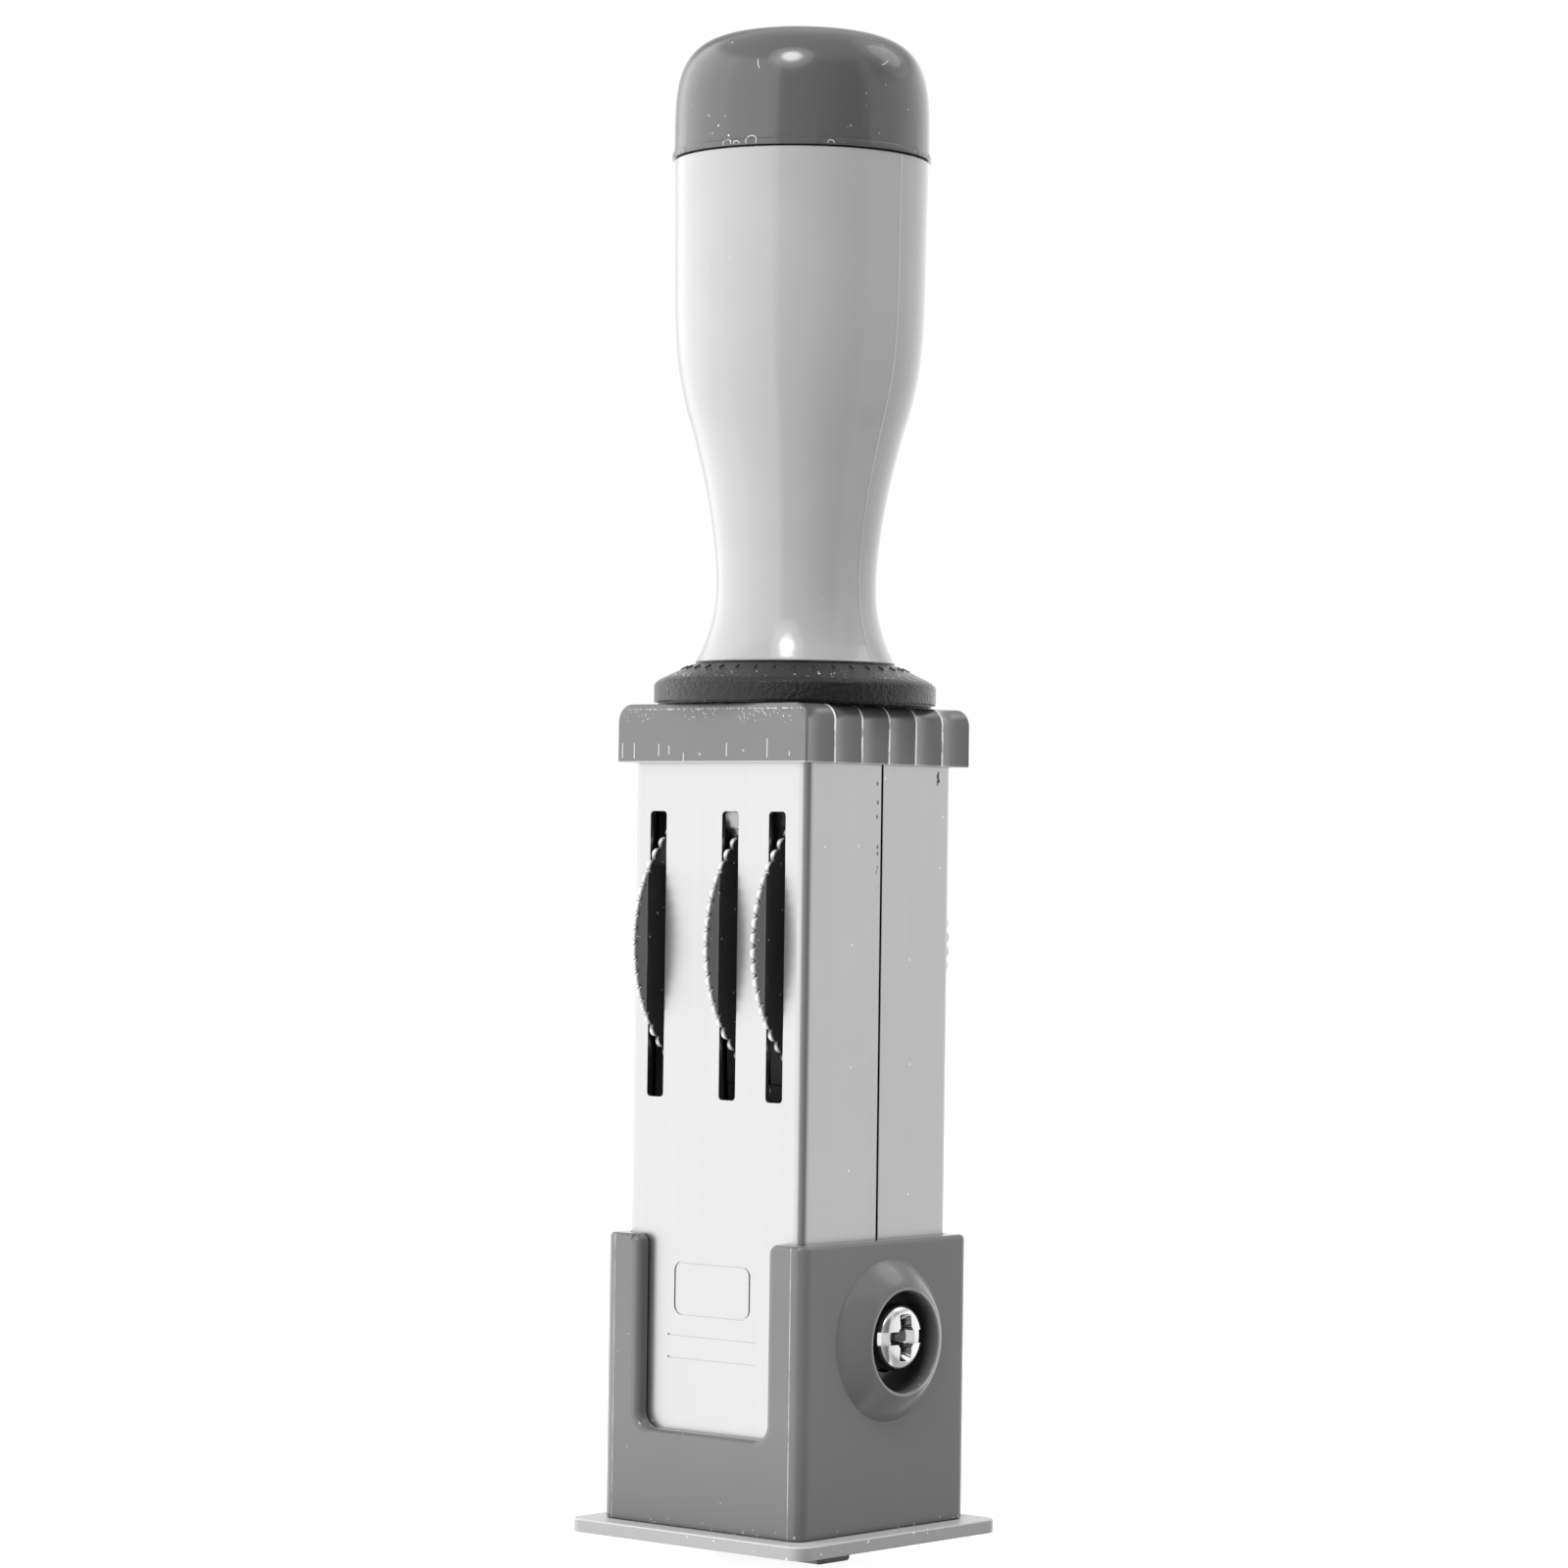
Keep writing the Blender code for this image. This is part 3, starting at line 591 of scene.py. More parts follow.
def dome_marks(tree):
    """Curls of flash along the lip, two hairs higher up, and fine dust in one patch and sparsely all over."""
    lip = where(tree, 2, DOME_FOOT + 0.1, DOME_FOOT + 0.15)
    curls = both(
        tree,
        curl(tree, (1.2, -11.74, 126.6), 0.42, 0.04),
        curl(tree, (2.2, -11.6, 126.5), 0.3, 0.04),
        curl(tree, (3.6, -11.24, 126.75), 0.5, 0.04),
        curl(tree, (9.4, -7.1, 126.5), 0.3, 0.04),
    )
    front_end = remap(tree, distance_from(tree, (3.7, -10.5, 133.6)), 0.5, 0.4)
    side_end = remap(tree, distance_from(tree, (10.9, -1.6, 134.2)), 0.6, 0.5)
    hairs = both(
        tree,
        times(tree, curl(tree, (5.6, -11.0, 134.3), 2.0, 0.035), front_end),
        times(tree, curl(tree, (11.6, -2.6, 136.0), 2.2, 0.035), side_end),
    )
    near = remap(tree, distance_from(tree, (0.6, -11.8, 127.8)), 2.0, 1.0)
    dust = times(tree, specks(tree, 2600, 0.3, 0.35), near)
    sparse = times(tree, specks(tree, 1300, 0.12, 0.35), 0.5)
    return both(tree, times(tree, curls, lip), hairs, dust, sparse)


def teeth_highlight_and_dust(tree):
    """Painted highlight on the crests of a wheel's teeth, and dust on its disc."""
    reach = distance_from(tree, AXLE, (0, 1, 1))
    # Painted highlight on the teeth's crests.
    highlight_and_wear = times(tree, remap(tree, reach, WHEEL_R - 0.26, WHEEL_R - 0.05), 0.7)
    return both(tree, highlight_and_wear, times(tree, streaks(tree, 620, 0.05, 0.3, 0.8, across=1), 0.8))


def shell_shade_and_dirt(tree):
    """Painted shade on the inner faces and in the seam, nicks beside the seam, and one dent under the cap."""
    shallow, deep = HOUSING_HALF - 0.36, HOUSING_HALF - 0.44
    # Painted shade: the inner faces go near black.
    inside = times(tree, off_middle(tree, 0, shallow, deep), off_middle(tree, 1, shallow, deep), 0.93)
    # Painted shade in the seam's gap.
    seam = times(tree, between(tree, 1, SEAM_Y - 0.14, SEAM_Y + 0.14, 0.01), 0.97)
    nicks = streaks(tree, 1800, 0.26, 0.4, 0.6, across=1)
    beside = times(tree, between(tree, 1, SEAM_Y - 1.0, SEAM_Y - 0.3), nicks, 0.8)
    upper = where(tree, 2, 60, 64)
    wave = times(tree, calc(tree, "SUBTRACT", noise(tree, 2600, 2.0), 0.5), 1.1)
    reach = distance_from(tree, (HOUSING_HALF, 8.1, 70.6), (1, 1.8, 0.6))
    dent = remap(tree, calc(tree, "ADD", reach, wave), 0.34, 0.24)
    return both(tree, inside, seam, times(tree, beside, upper), times(tree, dent, 0.9))


def recess_painted_shade(tree):
    """Painted shade in the depths of a screw's recess."""
    deep = off_middle(tree, 0, SCREW_TOP - 0.86, SCREW_TOP - 1.05)
    near = remap(tree, distance_from(tree, (0, CLAMP_Y, CLAMP_Z), (0, 1, 1)), 2.4, 2.3)
    return times(tree, deep, near, 0.75)


def steel(name, colour, rough, brush=(1, 1, 0.02), depth=0.35, scratches=0.25, wander=0.06, shade_and_dirt=None):
    """Metal with fine brush lines, patches of different polish, and sparse scratches.

    A brush number under 1 lengthens the lines along its axis. The last argument draws the part's dark places,
    painted shade and dirt, and comes with pale flecks.
    """
    made, tree, shader = shader_of(name, colour, rough, metallic=1.0)
    lines = noise(tree, 9000, 3.0, 0.6, brush)
    wide = noise(tree, 1000, 2.0, 0.6, brush)
    marks = times(tree, specks(tree, 300, 0.06, 0.22, (1.5, 1.5, 0.15)), scratches)
    pits = times(tree, specks(tree, 900, 0.05, 0.3), scratches)
    spots = both(tree, marks, pits)
    dark = [c * (1 - wander) for c in colour]
    light = [c * (1 + wander) for c in colour]
    base = mix_colour(tree, remap(tree, wide, 0.2, 0.8), dark, light)
    base = mix_colour(tree, spots, base, [c * 0.55 for c in colour])
    if shade_and_dirt is not None:
        flecks = times(tree, streaks(tree, 250, 0.024, 0.25, 0.7, across=1), 0.8)
        base = mix_colour(tree, flecks, base, grey(0.7))
        # Near black: painted shade and dirt.
        base = mix_colour(tree, shade_and_dirt(tree), base, grey(0.02))
    tree.links.new(base, shader.inputs["Base Color"])
    vary(tree, shader, 130, rough * 0.9, rough * 1.15, spots)
    bumps(tree, shader, [(lines, depth, 0.003)])
    return made


# ---- materials ----

STAINLESS = steel("stainless_brushed", (0.362, 0.362, 0.366), 0.31, wander=0.015, shade_and_dirt=shell_shade_and_dirt)
FRAME_STEEL = steel("frame_sheet", grey(0.42), 0.42, scratches=0.4)
PIN_STEEL = steel("drawn_pin", (0.5, 0.5, 0.51), 0.28, brush=(0.02, 1, 1))
SCREW_STEEL = steel(
    "bright_plate", grey(0.62), 0.1, brush=(1, 1, 1), depth=0.2, wander=0.1, shade_and_dirt=recess_painted_shade
)
BRASS = steel("turned_brass", (0.62, 0.45, 0.2), 0.3, brush=(0.3, 0.3, 1))
SLEEVE = plastic(
    "sleeve_moulded",
    0.13,
    0.15,
    dust=0.4,
    scratches=0.2,
    grain=0.06,
    specular=0.35,
    extra=sleeve_marks_and_highlight,
    shade=sleeve_painted_shade,
)
PLATE = plastic("plate_moulded", 0.26, 0.3, dust=0.4, mark=0.9, extra=plate_crumbs_and_highlight)
CAP = plastic("cap_moulded", 0.112, 0.24, mark=0.85, extra=cap_scuffs_and_highlights, rise=0.0)
HANDLE = plastic("handle_moulded", 0.335, 0.13, dust=0.2, scratches=0.2, grain=0.05)
DOME = plastic("dome_moulded", 0.075, 0.13, dust=0.5, scratches=0.6, grain=0.05, mark=0.6, extra=dome_marks)
RUBBER = plastic("band_rubber", 0.035, 0.55, dust=0.4, scratches=0.0, grain=0.4, mark=0.2)


def collar_plastic():
    """Black plastic with a coarse spark-eroded grain that glitters at a low angle, and painted glints along
    the rim's bend.
    """
    colour = grey(0.006)
    made, tree, shader = shader_of("collar_grained", colour, 0.2, specular=0.3)
    reach = distance_from(tree, (0, 0, 0), (1, 1, 0))
    bend = times(tree, remap(tree, reach, 11.1, 11.5), remap(tree, reach, 12.3, 12.0))
    patches = remap(tree, noise(tree, 260, 2.0), 0.4, 0.55)
    # Painted glints: light specks in patches along the rim's bend.
    painted_glints = times(tree, bend, specks(tree, 3000, 0.5, 0.4), patches)
    marks = both(tree, painted_glints, times(tree, specks(tree, 1300, 0.12, 0.3), 0.5))
    tint(tree, shader, colour, 0.15, marks, grey(0.55))
    vary(tree, shader, 900, 0.16, 0.28)
    bumps(tree, shader, [(noise(tree, 2600, 3.0, 0.7), 1.0, 0.16)])
    return made


def wheel_plastic():
    """Black plastic whose +X face is polished like a mirror. The rim and the other face are duller."""
    made = plastic("wheel_moulded", 0.045, 0.08, dust=0.8, grain=0.05, mark=0.7, extra=teeth_highlight_and_dust)
    tree = made.node_tree
    shader = tree.nodes["Principled BSDF"]
    shader.inputs["IOR"].default_value = 2.6
    facing = split(tree, node(tree, "TexCoord").outputs["Normal"])[0]
    tree.links.new(remap(tree, facing, 0.9, 0.97, 0.3, 1.0), shader.inputs["Specular IOR Level"])
    return made


COLLAR = collar_plastic()
WHEEL = wheel_plastic()

# ---- handle ----


def ridge_angles(steps, places, width):
    """Evenly spread angles, with extra ones round each place for a fine ridge."""
    even = [2 * pi * i / steps for i in range(steps)]
    fine = []
    for place in places:
        even = [a for a in even if abs(a - place) > width * 1.5 and abs(a - place - 2 * pi) > width * 1.5]
        fine += [(place + width * (i / 3 - 1)) % (2 * pi) for i in range(7)]
    return sorted(even + fine)


def ridge(angle, places, width):
    """Height of the ridge, from 0 to 1."""
    nearest = min(abs((angle - place + pi) % (2 * pi) - pi) for place in places)
    return max(0.0, 1 - nearest / width)


def grip():
    """Turned handle: flared foot, narrow neck and long swelling grip."""
    low, high = span("handle_grip")
    turned = [(9.15, low.z), (8.3, 82.6), (7.55, 85.1), (7.31, 87.65), (7.5, 91.15), (8.34, 96.45)]
    turned += [(9.43, 101.0), (10.42, 104.45), (11.08, 108.0), (11.4, 112.45), (11.5, 119.65), (11.6, high.z)]
    line = smooth_line(turned, per_span=9)
    profile = [(0, high.z), (9.5, high.z), (11.45, high.z), (11.58, high.z - 0.1)] + line[-2:0:-1]
    profile += [(9.12, low.z + 0.1), (9.05, low.z), (5.0, low.z), (0, low.z)]
    seams, width, rise = (0.0, pi), 0.016, 0.055

    def parting(angle, height):
        """The mould's parting line, raised on both sides between the two ends."""
        return rise * ridge(angle, seams, width) if low.z < height < high.z else 0

    made = lathe("grip", profile, angles=ridge_angles(180, seams, width), swell=parting)
    finished(made, "housing", "handle_plastic", HANDLE, "handle_grip")


def dome():
    """Domed cap with a squarish section, a thin lip at its seam and a plug that goes into the grip."""
    low, high = span("handle_cap")
    foot, centre, radius, power = DOME_FOOT, 127.0, 11.61, 2 / 4.1
    tall = high.z - centre
    profile = [(0, high.z)]
    steps = 44
    for i in range(1, steps + 1):
        angle = pi / 2 * (1 - i / steps) ** 1.15
        profile.append((radius * cos(angle) ** power, centre + tall * max(sin(angle), 0) ** power))
    profile = [p for p in profile if p[1] > foot + 0.62]
    profile += [(11.62, foot + 0.6), (11.68, foot + 0.54), (11.78, foot + 0.48), (11.8, foot + 0.36)]
    profile += [(11.8, foot + 0.14), (11.72, foot + 0.02), (11.6, foot)]
    profile += [(9.0, foot), (9.0, low.z), (0, low.z)]

    def flash(angle, height):
        """Thin moulding flash that stands out unevenly along the lip."""
        if abs(height - foot - 0.3) > 0.3:
            return 0
        wave = sin(angle * 23) * sin(angle * 41 + 1.3) * sin(angle * 7 + 0.5)
        return 0.09 * max(0.0, wave - 0.2)

    made = lathe("dome", profile, steps=240, swell=flash)
    finished(made, "housing", "handle_cap_plastic", DOME, "handle_cap")


def collar():
    """Sloping disc with a rounded rim, an undercut foot and 36 raised radial ticks."""
    low, high = span("collar_disc")
    top = high.z
    profile = [(0, top), (8.0, top), (9.1, top), (9.5, top - 0.1), (11.9, top - 1.25), (12.3, top - 1.46)]
    profile += [(12.56, top - 1.64), (12.73, top - 1.82), (12.8, top - 2.02)]
    profile += [(12.8, low.z + 0.24), (12.74, low.z + 0.17), (12.4, low.z + 0.14), (12.4, low.z), (0, low.z)]
    made = lathe("collar", profile, steps=200)
    ticks, reach, drop, slope = 36, 10.1, 0.39, radians(25.6)
    marks = []
    for i in range(ticks):
        angle = radians(360 / ticks * i)
        turn = Matrix.Rotation(angle, 4, "Z") @ Matrix.Rotation(slope, 4, "Y")
        centre = Vector((reach * cos(angle), reach * sin(angle), top - drop))
        bar = slab(f"collar_mark_{i}", rounded_rect(0.35, 0.06, 0.05, steps=2), -0.1, 0.08)
        bar.data.transform(Matrix.Translation(centre * MM) @ turn)
        marks.append(bar)
    weld(made, *marks)
    finished(made, "housing", "collar_plastic", COLLAR, "collar_disc", angle=45)


# ---- head ----


def top_cap():
    """Square cap with six hollow flutes on each X face, a rounded top and softened ends."""
    low, high = span("top_cap")
    half, end = CAP_HALF
    fillet, crown, roof = 0.45, 1.5, 75.7
    flute_deep, ridge_blunt = 0.4, 0.03
    # Shares of a flute's width where the skin has an edge, closer together near its two ridges.
    places = (0.0, 0.012, 0.025, 0.045, 0.075, 0.12, 0.19, 0.28, 0.39)
    places += (0.5, 0.61, 0.72, 0.81, 0.88, 0.925, 0.955, 0.975, 0.988)
    ends = []
    for i in range(6):
        angle = radians(15 * i)
        drop = fillet * (1 - sin(angle))
        ends.append((-end + CAP_ROUND * (1 - cos(angle)), drop / 2, drop))
    inside = end - CAP_ROUND
    flutes = []
    for i in range(FLUTES):
        for place in places:
            y = -inside + 2 * inside * (i + place) / FLUTES
            flutes.append((y, flute_deep * (hypot(sin(pi * place), ridge_blunt) - ridge_blunt), 0.0))
    other_ends = [(-y, inset, drop) for y, inset, drop in reversed(ends)]
    loops = []
    for y, inset, drop in ends + flutes[1:] + other_ends:
        side, top = half - inset, high.z - drop
        right = [(side - 0.08, low.z), (side, low.z + 0.1)]
        right += arc(side - crown, top - crown, crown, 0, 90, 12)
        right += [(side - crown - 2.5, top)]
        loops.append([(x, y, z) for x, z in right] + [(-x, y, z) for x, z in reversed(right)])
    made = loft("cap", loops)
    carve(made, slab("cavity", rounded_rect(BORE_HALF, BORE_HALF, BORE_CORNER), low.z - CLEAR, roof))
    finished(made, "housing", "top_cap_plastic", CAP, "top_cap", angle=50)


def channel(depth):
    """Section of one bent shell, open towards +Y."""
    half, outer, inner = HOUSING_HALF, HOUSING_CORNER, HOUSING_CORNER - SHEET
    at = half - HOUSING_CORNER
    points = [(-half, depth)]
    points += arc(-at, -at, outer, 180, 270, 12) + arc(at, -at, outer, 270, 360, 12)
    points += [(half, depth), (half - SHEET, depth)]
    points += arc(at, -at, inner, 360, 270, 12) + arc(-at, -at, inner, 270, 180, 12)
    return points + [(-half + SHEET, depth)]


def plain_mark():
    """Cutters for a blank engraved name field: a rounded frame over two plain rules."""
    low, high = HOUSING_HALF - 0.1, HOUSING_HALF + CLEAR
    line, wide, tall, corner, middle = 0.18, 4.5, 2.4, 0.9, 24.6
    outer = rounded_rect(wide, tall, corner, 0.0, middle)
    inner = rounded_rect(wide - line, tall - line, corner - line, 0.0, middle)
    cutters = [hoop("mark_frame", outer, inner, low, high, "Y")]
    for z in (20.4, 18.4):
        rule = rounded_rect(5.2, line / 2, 0.07, 0.0, z)
        cutters.append(slab(f"mark_rule_{z:.0f}", rule, low, high, "Y"))
    return cutters


def shell(name, node_name, front):
    """One half of the housing, with its wheel slots and its share of the clamp screws' holes."""
    low, high = span(node_name)
    leg = SEAM_Y - SEAM_GAP / 2 if front else -SEAM_Y - SEAM_GAP / 2
    outline = channel(leg)
    if not front:
        outline = [(x, -y) for x, y in outline]
    made = slab(name, outline, low.z, high.z)
    cutters = []
    middle, tall = sum(SLOT_SPAN) / 2, (SLOT_SPAN[1] - SLOT_SPAN[0]) / 2
    inside, outside = 8, 12
    near, far = (inside, outside) if front else (-outside, -inside)
    for i, x in enumerate(SLOT_CENTRES):
        outline = rounded_rect(SLOT_WIDE / 2, tall, 0.35, x, middle, steps=6)
        cutters.append(slab(f"{name}_slot_{i}", outline, near, far, "Y"))
    hole = circle(CLAMP_HOLE_R, 32)
    cutters.append(slab(name + "_clamp", hole, -outside, outside, "X", (0, CLAMP_Y, CLAMP_Z)))
    carve(made, *cutters)
    soften(made, 0.07, 2)
    if front:
        carve(made, *plain_mark())
    finished(made, "housing", "brushed_stainless", STAINLESS, node_name)


# ---- wheels and bands ----


def rim_loop(inset, level):
    """Edge of a thumb wheel: rounded teeth with narrow valleys."""
    points, per_tooth = [], 10
    for i in range(TEETH * per_tooth):
        angle = 2 * pi * i / (TEETH * per_tooth)
        crest = abs(sin(pi * i / per_tooth)) ** 0.7
        radius = WHEEL_R - inset - TOOTH_DEEP * (1 - crest)
        points.append((radius * cos(angle), radius * sin(angle), level))
    return points


def wheel(name, disc, drum_from, drum_to, hub_to):
    """Toothed disc with the drum for its band and, on one wheel, a hub that fills the gap beside it."""
    low, high = disc + DISC_SPAN[0], disc + DISC_SPAN[1]
    edge = [(0.14, 0.0), (0.04, 0.06), (0.0, 0.14)]
    levels = [(inset, low + rise) for inset, rise in edge]
    levels += [(inset, high - rise) for inset, rise in reversed(edge)]
    made = loft(name + "_disc", [rim_loop(inset, level) for inset, level in levels], "X", AXLE)
    parts = [slab(name + "_drum", circle(DRUM_R, 96), drum_from, drum_to, "X", AXLE)]
    if hub_to:
        parts.append(slab(name + "_hub", circle(HUB_R, 64), disc, hub_to, "X", AXLE))
    weld(made, *parts)
    through = 12
    carve(made, slab(name + "_bore", circle(BORE_R, 48), -through, through, "X", AXLE))
    finished(made, name + "_wheel", "wheel_plastic", WHEEL, name + "_wheel", angle=50)


def belt_loop(circles, offset, steps):
    """Taut loop round circles (x, y, radius) listed anticlockwise, moved out by offset."""
    normals = []
    for (x0, y0, r0), (x1, y1, r1) in zip(circles, circles[1:] + circles[:1]):
        heading = atan2(y1 - y0, x1 - x0)
        normals.append(heading - pi / 2 + asin((r0 - r1) / hypot(x1 - x0, y1 - y0)))
    points = []
    for i, (x, y, radius) in enumerate(circles):
        start = normals[i - 1]
        sweep = (normals[i] - start) % (2 * pi)
        points += arc(x, y, radius + offset, start * 180 / pi, (start + sweep) * 180 / pi, steps)
    return points


def digits(name, text, centre_x):
    """Raised numbers on the stamping face, which look down and so read reversed."""
    tall, rise, narrow = 3.6, 0.35, 0.78
    curve = bpy.data.curves.new(name, "FONT")
    curve.body = text
    curve.size = tall * MM
    curve.extrude = rise * MM
    curve.align_x = "CENTER"
    curve.align_y = "CENTER"
    drawn = bpy.data.objects.new(name, curve)
    bpy.context.scene.collection.objects.link(drawn)
    graph = bpy.context.evaluated_depsgraph_get()
    mesh = bpy.data.meshes.new_from_object(drawn.evaluated_get(graph))
    bpy.data.objects.remove(drawn)
    work = bmesh.new()
    work.from_mesh(mesh)
    bmesh.ops.remove_doubles(work, verts=work.verts, dist=2e-6)
    bmesh.ops.recalc_face_normals(work, faces=work.faces)
    work.to_mesh(mesh)
    work.free()
    mesh.transform(Matrix.Translation((centre_x * MM, 0, rise * MM)) @ Matrix.Scale(narrow, 4, (1, 0, 0)))
    obj = bpy.data.objects.new(name, mesh)
    bpy.context.scene.collection.objects.link(obj)
    return obj


def band(name, low, high, text):
    """Belt round a wheel's drum and the nose bar, with type pads on both runs and a number at its end."""
    drum, half, nose, nose_z = 6.0, 1.0, 1.2, 3.15
    inside, outside = 0.05, 0.85
    circles = [(AXLE[1], AXLE[2], drum), (-half, nose_z, nose), (half, nose_z, nose)]
    outer, inner = belt_loop(circles, outside, 40), belt_loop(circles, inside, 40)
    made = hoop(name + "_type_band", outer, inner, low, high, "X")
    soften(made, 0.08, 2)
    parts = []
    pads, first, pitch = 9, 8.6, 4.5
    for i in range(pads):
        for side in (-1, 1):
            level = first + pitch * i
            along = (level - nose_z) / (AXLE[2] - nose_z)
            across = side * (half + nose + (drum - half - nose) * along + outside) + AXLE[1] * along
            outline = rounded_rect(0.22, 1.75, 0.15, across, level, steps=3)
            parts.append(slab(f"{name}_pad_{i}_{side}", outline, low + 0.35, high - 0.35, "X"))
    foot = rounded_rect(2.3, 0.6, 0.4, 0, 0.64, steps=5)
    parts.append(slab(name + "_type_foot", foot, low + 0.15, high - 0.15, "X"))
    parts.append(digits(name + "_digits", text, (low + high) / 2))
    weld(made, *parts)
    finished(made, "housing", "type_rubber", RUBBER, name + "_band")


# ---- foot ----


def window_outline(top, out):
    """Outline of a window that is open at the top, moved outwards for its rounded edge."""
    half, low, corner, post = 7.6, 11.95, 1.5, 0.8
    right = arc(half - corner, low + corner, corner + out, 270, 360, 10)
    right += arc(half + post, top - post, post - out, 180, 90, 8)
    right.append((half + post, top + CLEAR))
    return right + [(-x, z) for x, z in reversed(right)]


def window_cutter(top):
    """The windows of both faces, with a quarter round where they meet the faces."""
    rim, half, steps = 0.75, SLEEVE_HALF, 8
    levels = [(half + 5, rim)]
    for i in range(steps + 1):
        deep = rim * i / steps
        levels.append((half - deep, rim - (rim**2 - (rim - deep) ** 2) ** 0.5))
    levels += [(-level, out) for level, out in reversed(levels)]
    return loft("sleeve_window", [lifted(window_outline(top, out), level) for level, out in levels], "Y")


def boss_ring():
    """Domed boss round a clamp screw, with a rounded crest and the wall of its recess."""
    wall = SLEEVE_HALF
    profile = [(7.2, wall - 0.5), (7.22, wall - 0.02), (7.05, wall + 0.2), (6.7, wall + 0.58)]
    profile += [(6.25, wall + 1.0), (5.75, wall + 1.38), (5.35, wall + 1.66), (5.05, wall + 1.84)]
    profile += [(4.85, wall + 1.93), (4.7, wall + 1.95), (4.58, wall + 1.9), (RECESS_R, wall + 1.78)]
    profile += [(RECESS_R, RECESS_FLOOR - 0.2), (5.2, RECESS_FLOOR - 0.2)]
    return lathe("boss", profile, "X", (0, CLAMP_Y, BOSS_Z), steps=128)


def sleeve():
    """Square foot sleeve with a rounded upper lip, its windows, and a boss with a recess on each side."""
    low, high = span("lower_sleeve")
    half, lip, steps = SLEEVE_HALF, 0.45, 5
    levels = [(0.12, low.z), (0.0, low.z + 0.12)]
    for i in range(steps + 1):
        angle = radians(90 * i / steps)
        levels.append((lip * (1 - cos(angle)), high.z - lip * (1 - sin(angle))))
    loops = []
    for inset, level in levels:
        outline = rounded_rect(half - inset, half - inset, SLEEVE_CORNER - inset, steps=12)
        loops.append(lifted(outline, level))
    made = loft("sleeve", loops)
    bore = rounded_rect(BORE_HALF, BORE_HALF, BORE_CORNER)
    carve(made, slab("sleeve_bore", bore, low.z - CLEAR, high.z + CLEAR), window_cutter(high.z))
    soften(made, 0.15, 3, 50)
    centre = (0, CLAMP_Y, BOSS_Z)
    hole, travel_slot = circle(RECESS_R + 0.3, 96), rounded_rect(1.7, 2.9, 1.69)
    for turned in (False, True):
        recess = slab("recess", hole, RECESS_FLOOR, half + 5, "X", centre)
        slot = slab("floor_slot", travel_slot, BORE_HALF - CLEAR, RECESS_FLOOR + 0.5, "X", centre)
        ring = boss_ring()
        if turned:
            for helper in (recess, slot, ring):
                half_turn(helper)
        carve(made, recess, slot)
        weld(made, ring)
    finished(made, "foot", "sleeve_plastic", SLEEVE, "lower_sleeve", angle=42)


def plate():
    """Square plate with rounded corners and edges, and the mouth that the bands come through."""
    low, high = span("base_plate")
    half, corner = high.x, 1.5
    made = slab("plate", rounded_rect(half, half, corner, steps=14), low.z, high.z)
    mouth = rounded_rect(8.9, 4.2, 0.8)
    carve(made, slab("plate_mouth", mouth, low.z - CLEAR, high.z + CLEAR))
    soften(made, 0.14, 3, 50)
    finished(made, "foot", "plate_plastic", PLATE, "base_plate")


def clamp_screw(side):
    """Pan head with a full-width slot and a deep tapered cross."""
    top, head, shank, crown, tip = SCREW_TOP, 2.98, 1.45, 1.35, 6.6
    centre, under, steps, power = (0, CLAMP_Y, CLAMP_Z), SCREW_TOP - 2.45, 16, 3.2
    profile = [(0, top)]
    for i in range(1, steps + 1):
        part = (i / steps) ** 0.5
        profile.append((head * part, top - crown * (1 - (1 - part**power) ** (1 / power))))
    profile += [(head, top - 2.3), (head - 0.12, under), (shank, under)]
    profile += [(shank, tip + 0.3), (shank - 0.3, tip), (0, tip)]
    made = lathe(f"clamp_screw_{side}", profile, "X", centre, steps=96)

    def well(name, *sections):
        """Tapered cutter through outlines, each with its depth below the top of the head."""
        return loft(name, [lifted(outline, top - deep) for outline, deep in sections], "X", centre)

    slot = slab("slot", rounded_rect(4, 0.58, 0.05, steps=2), top - 0.95, top + CLEAR, "X", centre)
    wide, narrow = rounded_rect(0.78, 2.1, 0.3), rounded_rect(0.45, 1.45, 0.2)
    cross = well("cross", (narrow, 1.75), (wide, 0.15), (wide, -CLEAR))
    deep, shallow = circle(0.6, 32), circle(1.2, 32)
    middle = well("middle", (deep, 2.1), (shallow, 0.8), (shallow, -CLEAR))
    carve(made, slot, cross, middle)
    soften(made, 0.06, 2)
    if side == "left":
        half_turn(made)
    finished(made, "housing", "screw_steel", SCREW_STEEL, f"side_screw_{side}", angle=50)


# ---- studio ----


def camera():
    """Stands right of the front, a little below the stamp's middle. Angles are in radians."""
    azimuth, distance, height = 0.707, 443.86, 63.58
    tilt, roll, pan = 0.0142, 0.0133, 0.0020
    heading = azimuth + pan
    ahead = Vector((-sin(heading), cos(heading), 0))
    right = Vector((cos(heading), sin(heading), 0))
    up = Vector((0, 0, 1))
    view = ahead * cos(tilt) + up * sin(tilt)
    above = up * cos(tilt) - ahead * sin(tilt)
    across = right * cos(roll) + above * sin(roll)
    above = above * cos(roll) - right * sin(roll)
    data = bpy.data.cameras.new("camera")
    data.sensor_width = 36.0
    data.lens = 112.37
    data.clip_start, data.clip_end = 0.01, 100
    made = bpy.data.objects.new("camera", data)
    bpy.context.scene.collection.objects.link(made)
    turn = Matrix((across, above, -view)).transposed().to_4x4()
    place = Vector((distance * sin(azimuth), -distance * cos(azimuth), height)) * MM
    made.matrix_world = Matrix.Translation(place) @ turn
    bpy.context.scene.camera = made


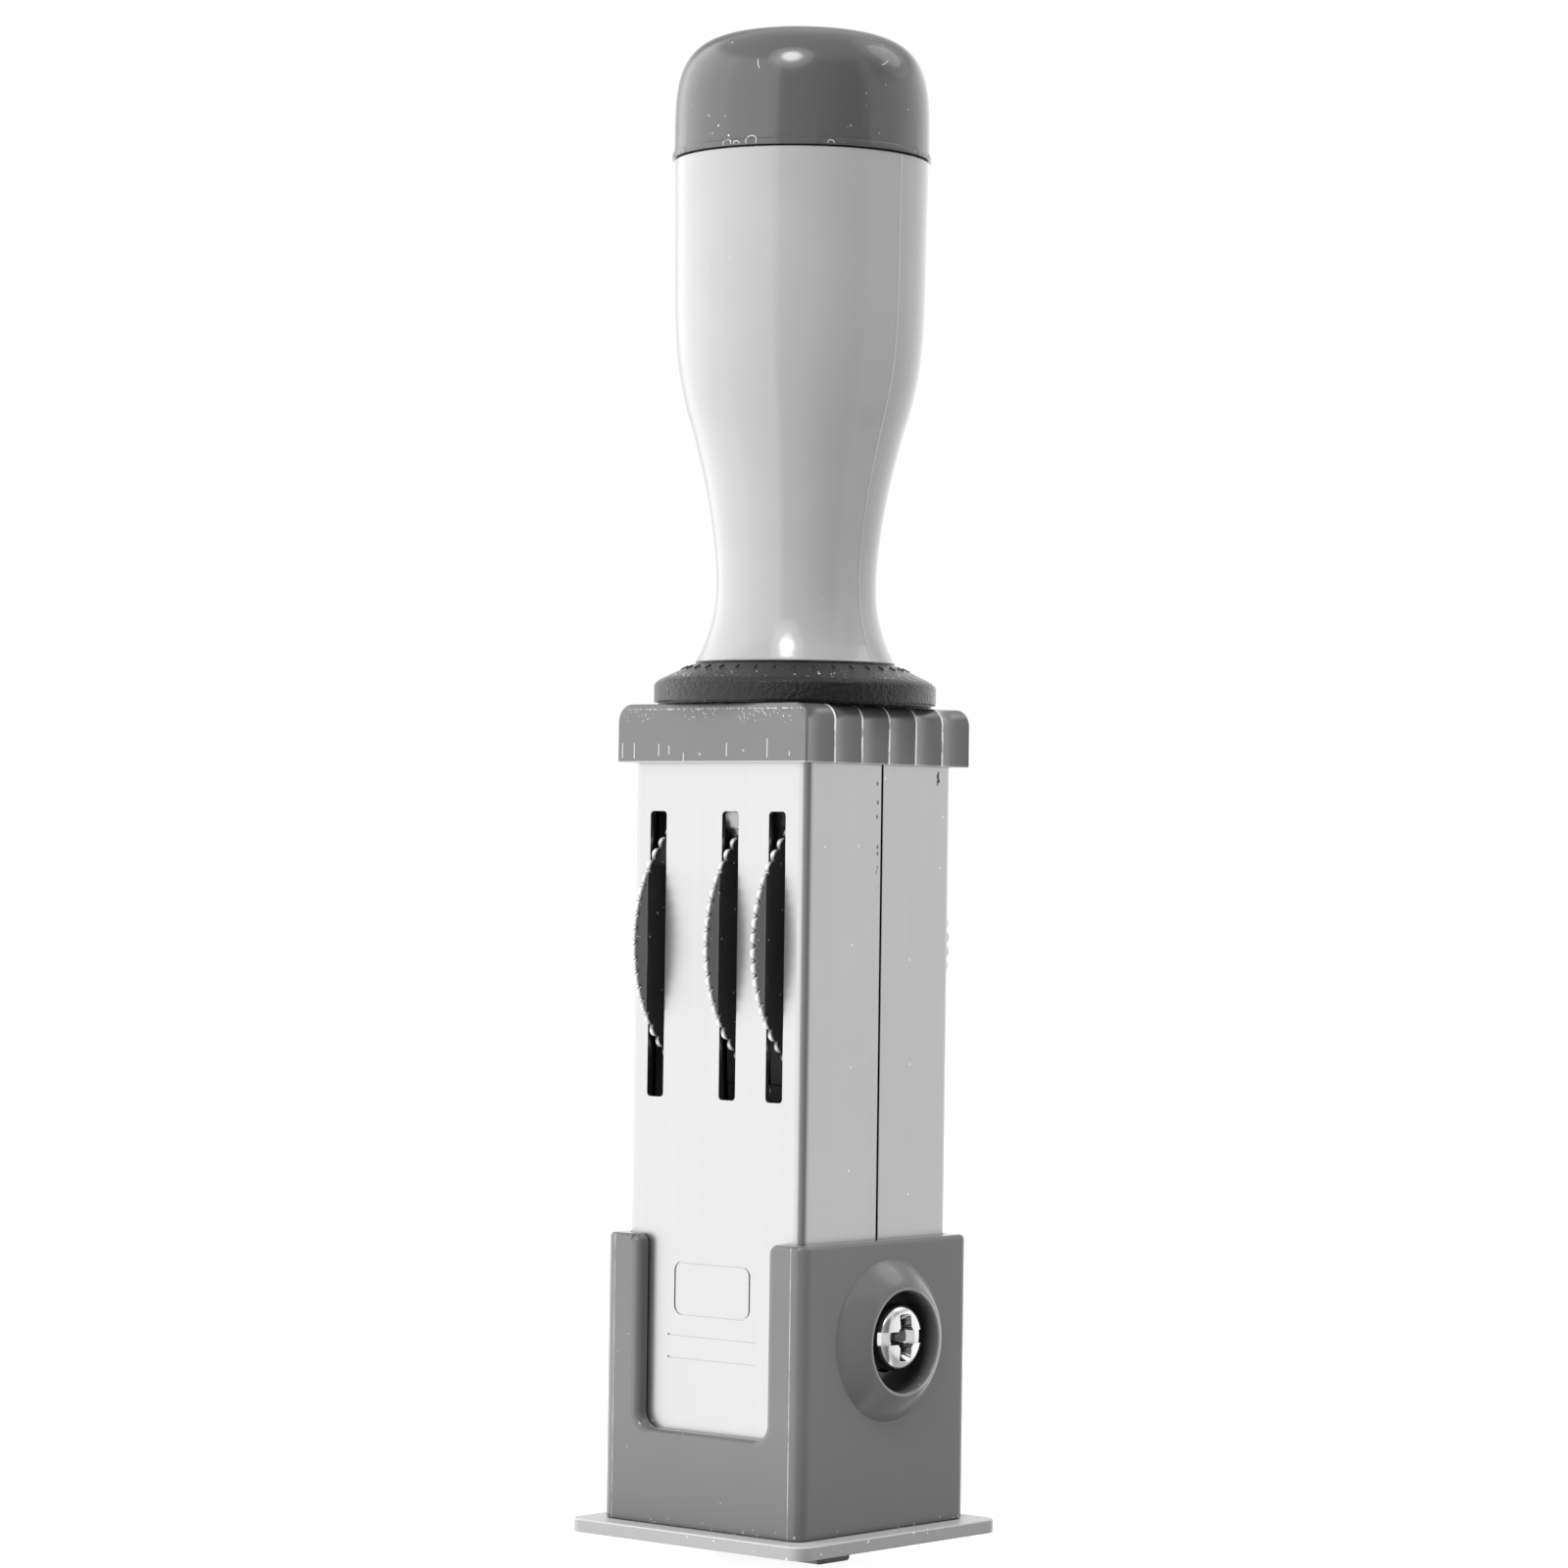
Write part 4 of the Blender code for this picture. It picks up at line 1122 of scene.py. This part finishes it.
def sky():
    """White studio: bright walls in front and on the left, a dim side on the right, and paler walls behind.

    A stop is an azimuth in degrees, from the front towards +X, and the brightness there. The camera itself
    sees plain white.
    """
    world = bpy.data.worlds.new("studio")
    bpy.context.scene.world = world
    world.use_nodes = True
    tree = world.node_tree
    background = tree.nodes["Background"]
    across, deep, up = split(tree, node(tree, "TexCoord").outputs["Generated"])
    azimuth = calc(tree, "ARCTAN2", across, times(tree, deep, -1.0))
    share = calc(tree, "ADD", calc(tree, "DIVIDE", azimuth, 2 * pi), 0.5)
    stops = [(-180, 1.7), (-150, 1.6), (-115, 0.9), (-100, 2.45), (-52, 2.45), (-46, 2.4), (-34, 2.55)]
    stops += [(-30, 2.15), (17, 2.2), (19.5, 0.66), (48, 0.54), (78, 0.28), (95, 0.28)]
    stops += [(107, 1.1), (139, 1.4), (180, 1.7)]
    most = 3.0
    ramp = node(tree, "ValToRGB", {0: share})
    elements = ramp.color_ramp.elements
    for i, (degrees, level) in enumerate(stops):
        at = degrees / 360 + 0.5
        element = elements[i] if i < 2 else elements.new(at)
        element.position = at
        element.color = (*grey(level / most), 1)
    tall = remap(tree, calc(tree, "ABSOLUTE", up), 0.3, 0.45)
    back = remap(tree, deep, 0.2, 0.4)
    walls = times(tree, ramp.outputs[0], most, calc(tree, "SUBTRACT", 1.0, times(tree, tall, back, 0.55)))
    level = mix_value(tree, remap(tree, up, 0.62, 0.72), walls, 1.0)
    level = mix_value(tree, node(tree, "LightPath").outputs["Is Camera Ray"], level, 1.05)
    background.inputs["Color"].default_value = (1, 1, 1, 1)
    tree.links.new(level, background.inputs["Strength"])


STAMP_MIDDLE = Vector((0, 0, 70)) * MM


def lamp(name, azimuth, elevation, distance, size, level):
    """Round soft light aimed at the stamp's middle, with distance and size in metres.

    Azimuth is in degrees from the front towards +X. The level is its brightness, with white at 1.
    """
    data = bpy.data.lights.new(name, "AREA")
    data.shape = "DISK"
    data.size = size
    data.energy = level * pi * pi * size * size / 4
    made = bpy.data.objects.new(name, data)
    bpy.context.scene.collection.objects.link(made)
    a, e = radians(azimuth), radians(elevation)
    back = Vector((sin(a) * cos(e), -cos(a) * cos(e), sin(e)))
    made.location = STAMP_MIDDLE + back * distance
    made.rotation_mode = "QUATERNION"
    made.rotation_quaternion = back.to_track_quat("Z", "Y")
    made.visible_camera = False


def floor():
    """White table that neither lights the stamp nor shows in it. Its top is just below Z = 0."""
    made = slab("floor", circle(3000, 96), -2.0, -0.02)
    colour = grey(0.25)
    material, tree, shader = shader_of("pale_table", colour, 0.7, specular=0.1)
    tint(tree, shader, colour, 0.01)
    shader.inputs["Emission Color"].default_value = (1, 1, 1, 1)
    shader.inputs["Emission Strength"].default_value = 0.9
    made.data.materials.append(material)
    made.visible_diffuse = False
    made.visible_glossy = False
    made.visible_shadow = False


def dress(name, look):
    """Better material for a CAD node that keeps its shape."""
    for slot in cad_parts[name].material_slots:
        slot.material = look


camera()
grip()
dome()
collar()
top_cap()
shell("front_sheet", "front_shell", True)
shell("rear_sheet", "rear_shell", False)
for wheel_name, sizes in WHEELS.items():
    wheel(wheel_name, *sizes)
for band_name, sizes in BANDS.items():
    band(band_name, *sizes)
sleeve()
plate()
clamp_screw("right")
clamp_screw("left")
for name in ("inner_frame", "nose_bar"):
    dress(name, FRAME_STEEL)
for name in ("side_nut_right", "side_nut_left", "handle_screw", "screw_washer"):
    dress(name, SCREW_STEEL)
for name in ("axle_spacer_left", "axle_spacer_right"):
    dress(name, WHEEL)
dress("wheel_axle", PIN_STEEL)
dress("handle_insert", BRASS)
sky()
floor()
lamp("top_light", 27, 49, 0.9, 0.24, 14)
lamp("top_glow", 27, 49, 0.95, 0.55, 2.2)
lamp("back_light", 150, 45, 0.9, 0.42, 1.5)
lamp("back_glow", 150, 45, 0.95, 0.75, 0.5)
bpy.context.scene.view_settings.view_transform = "Standard"
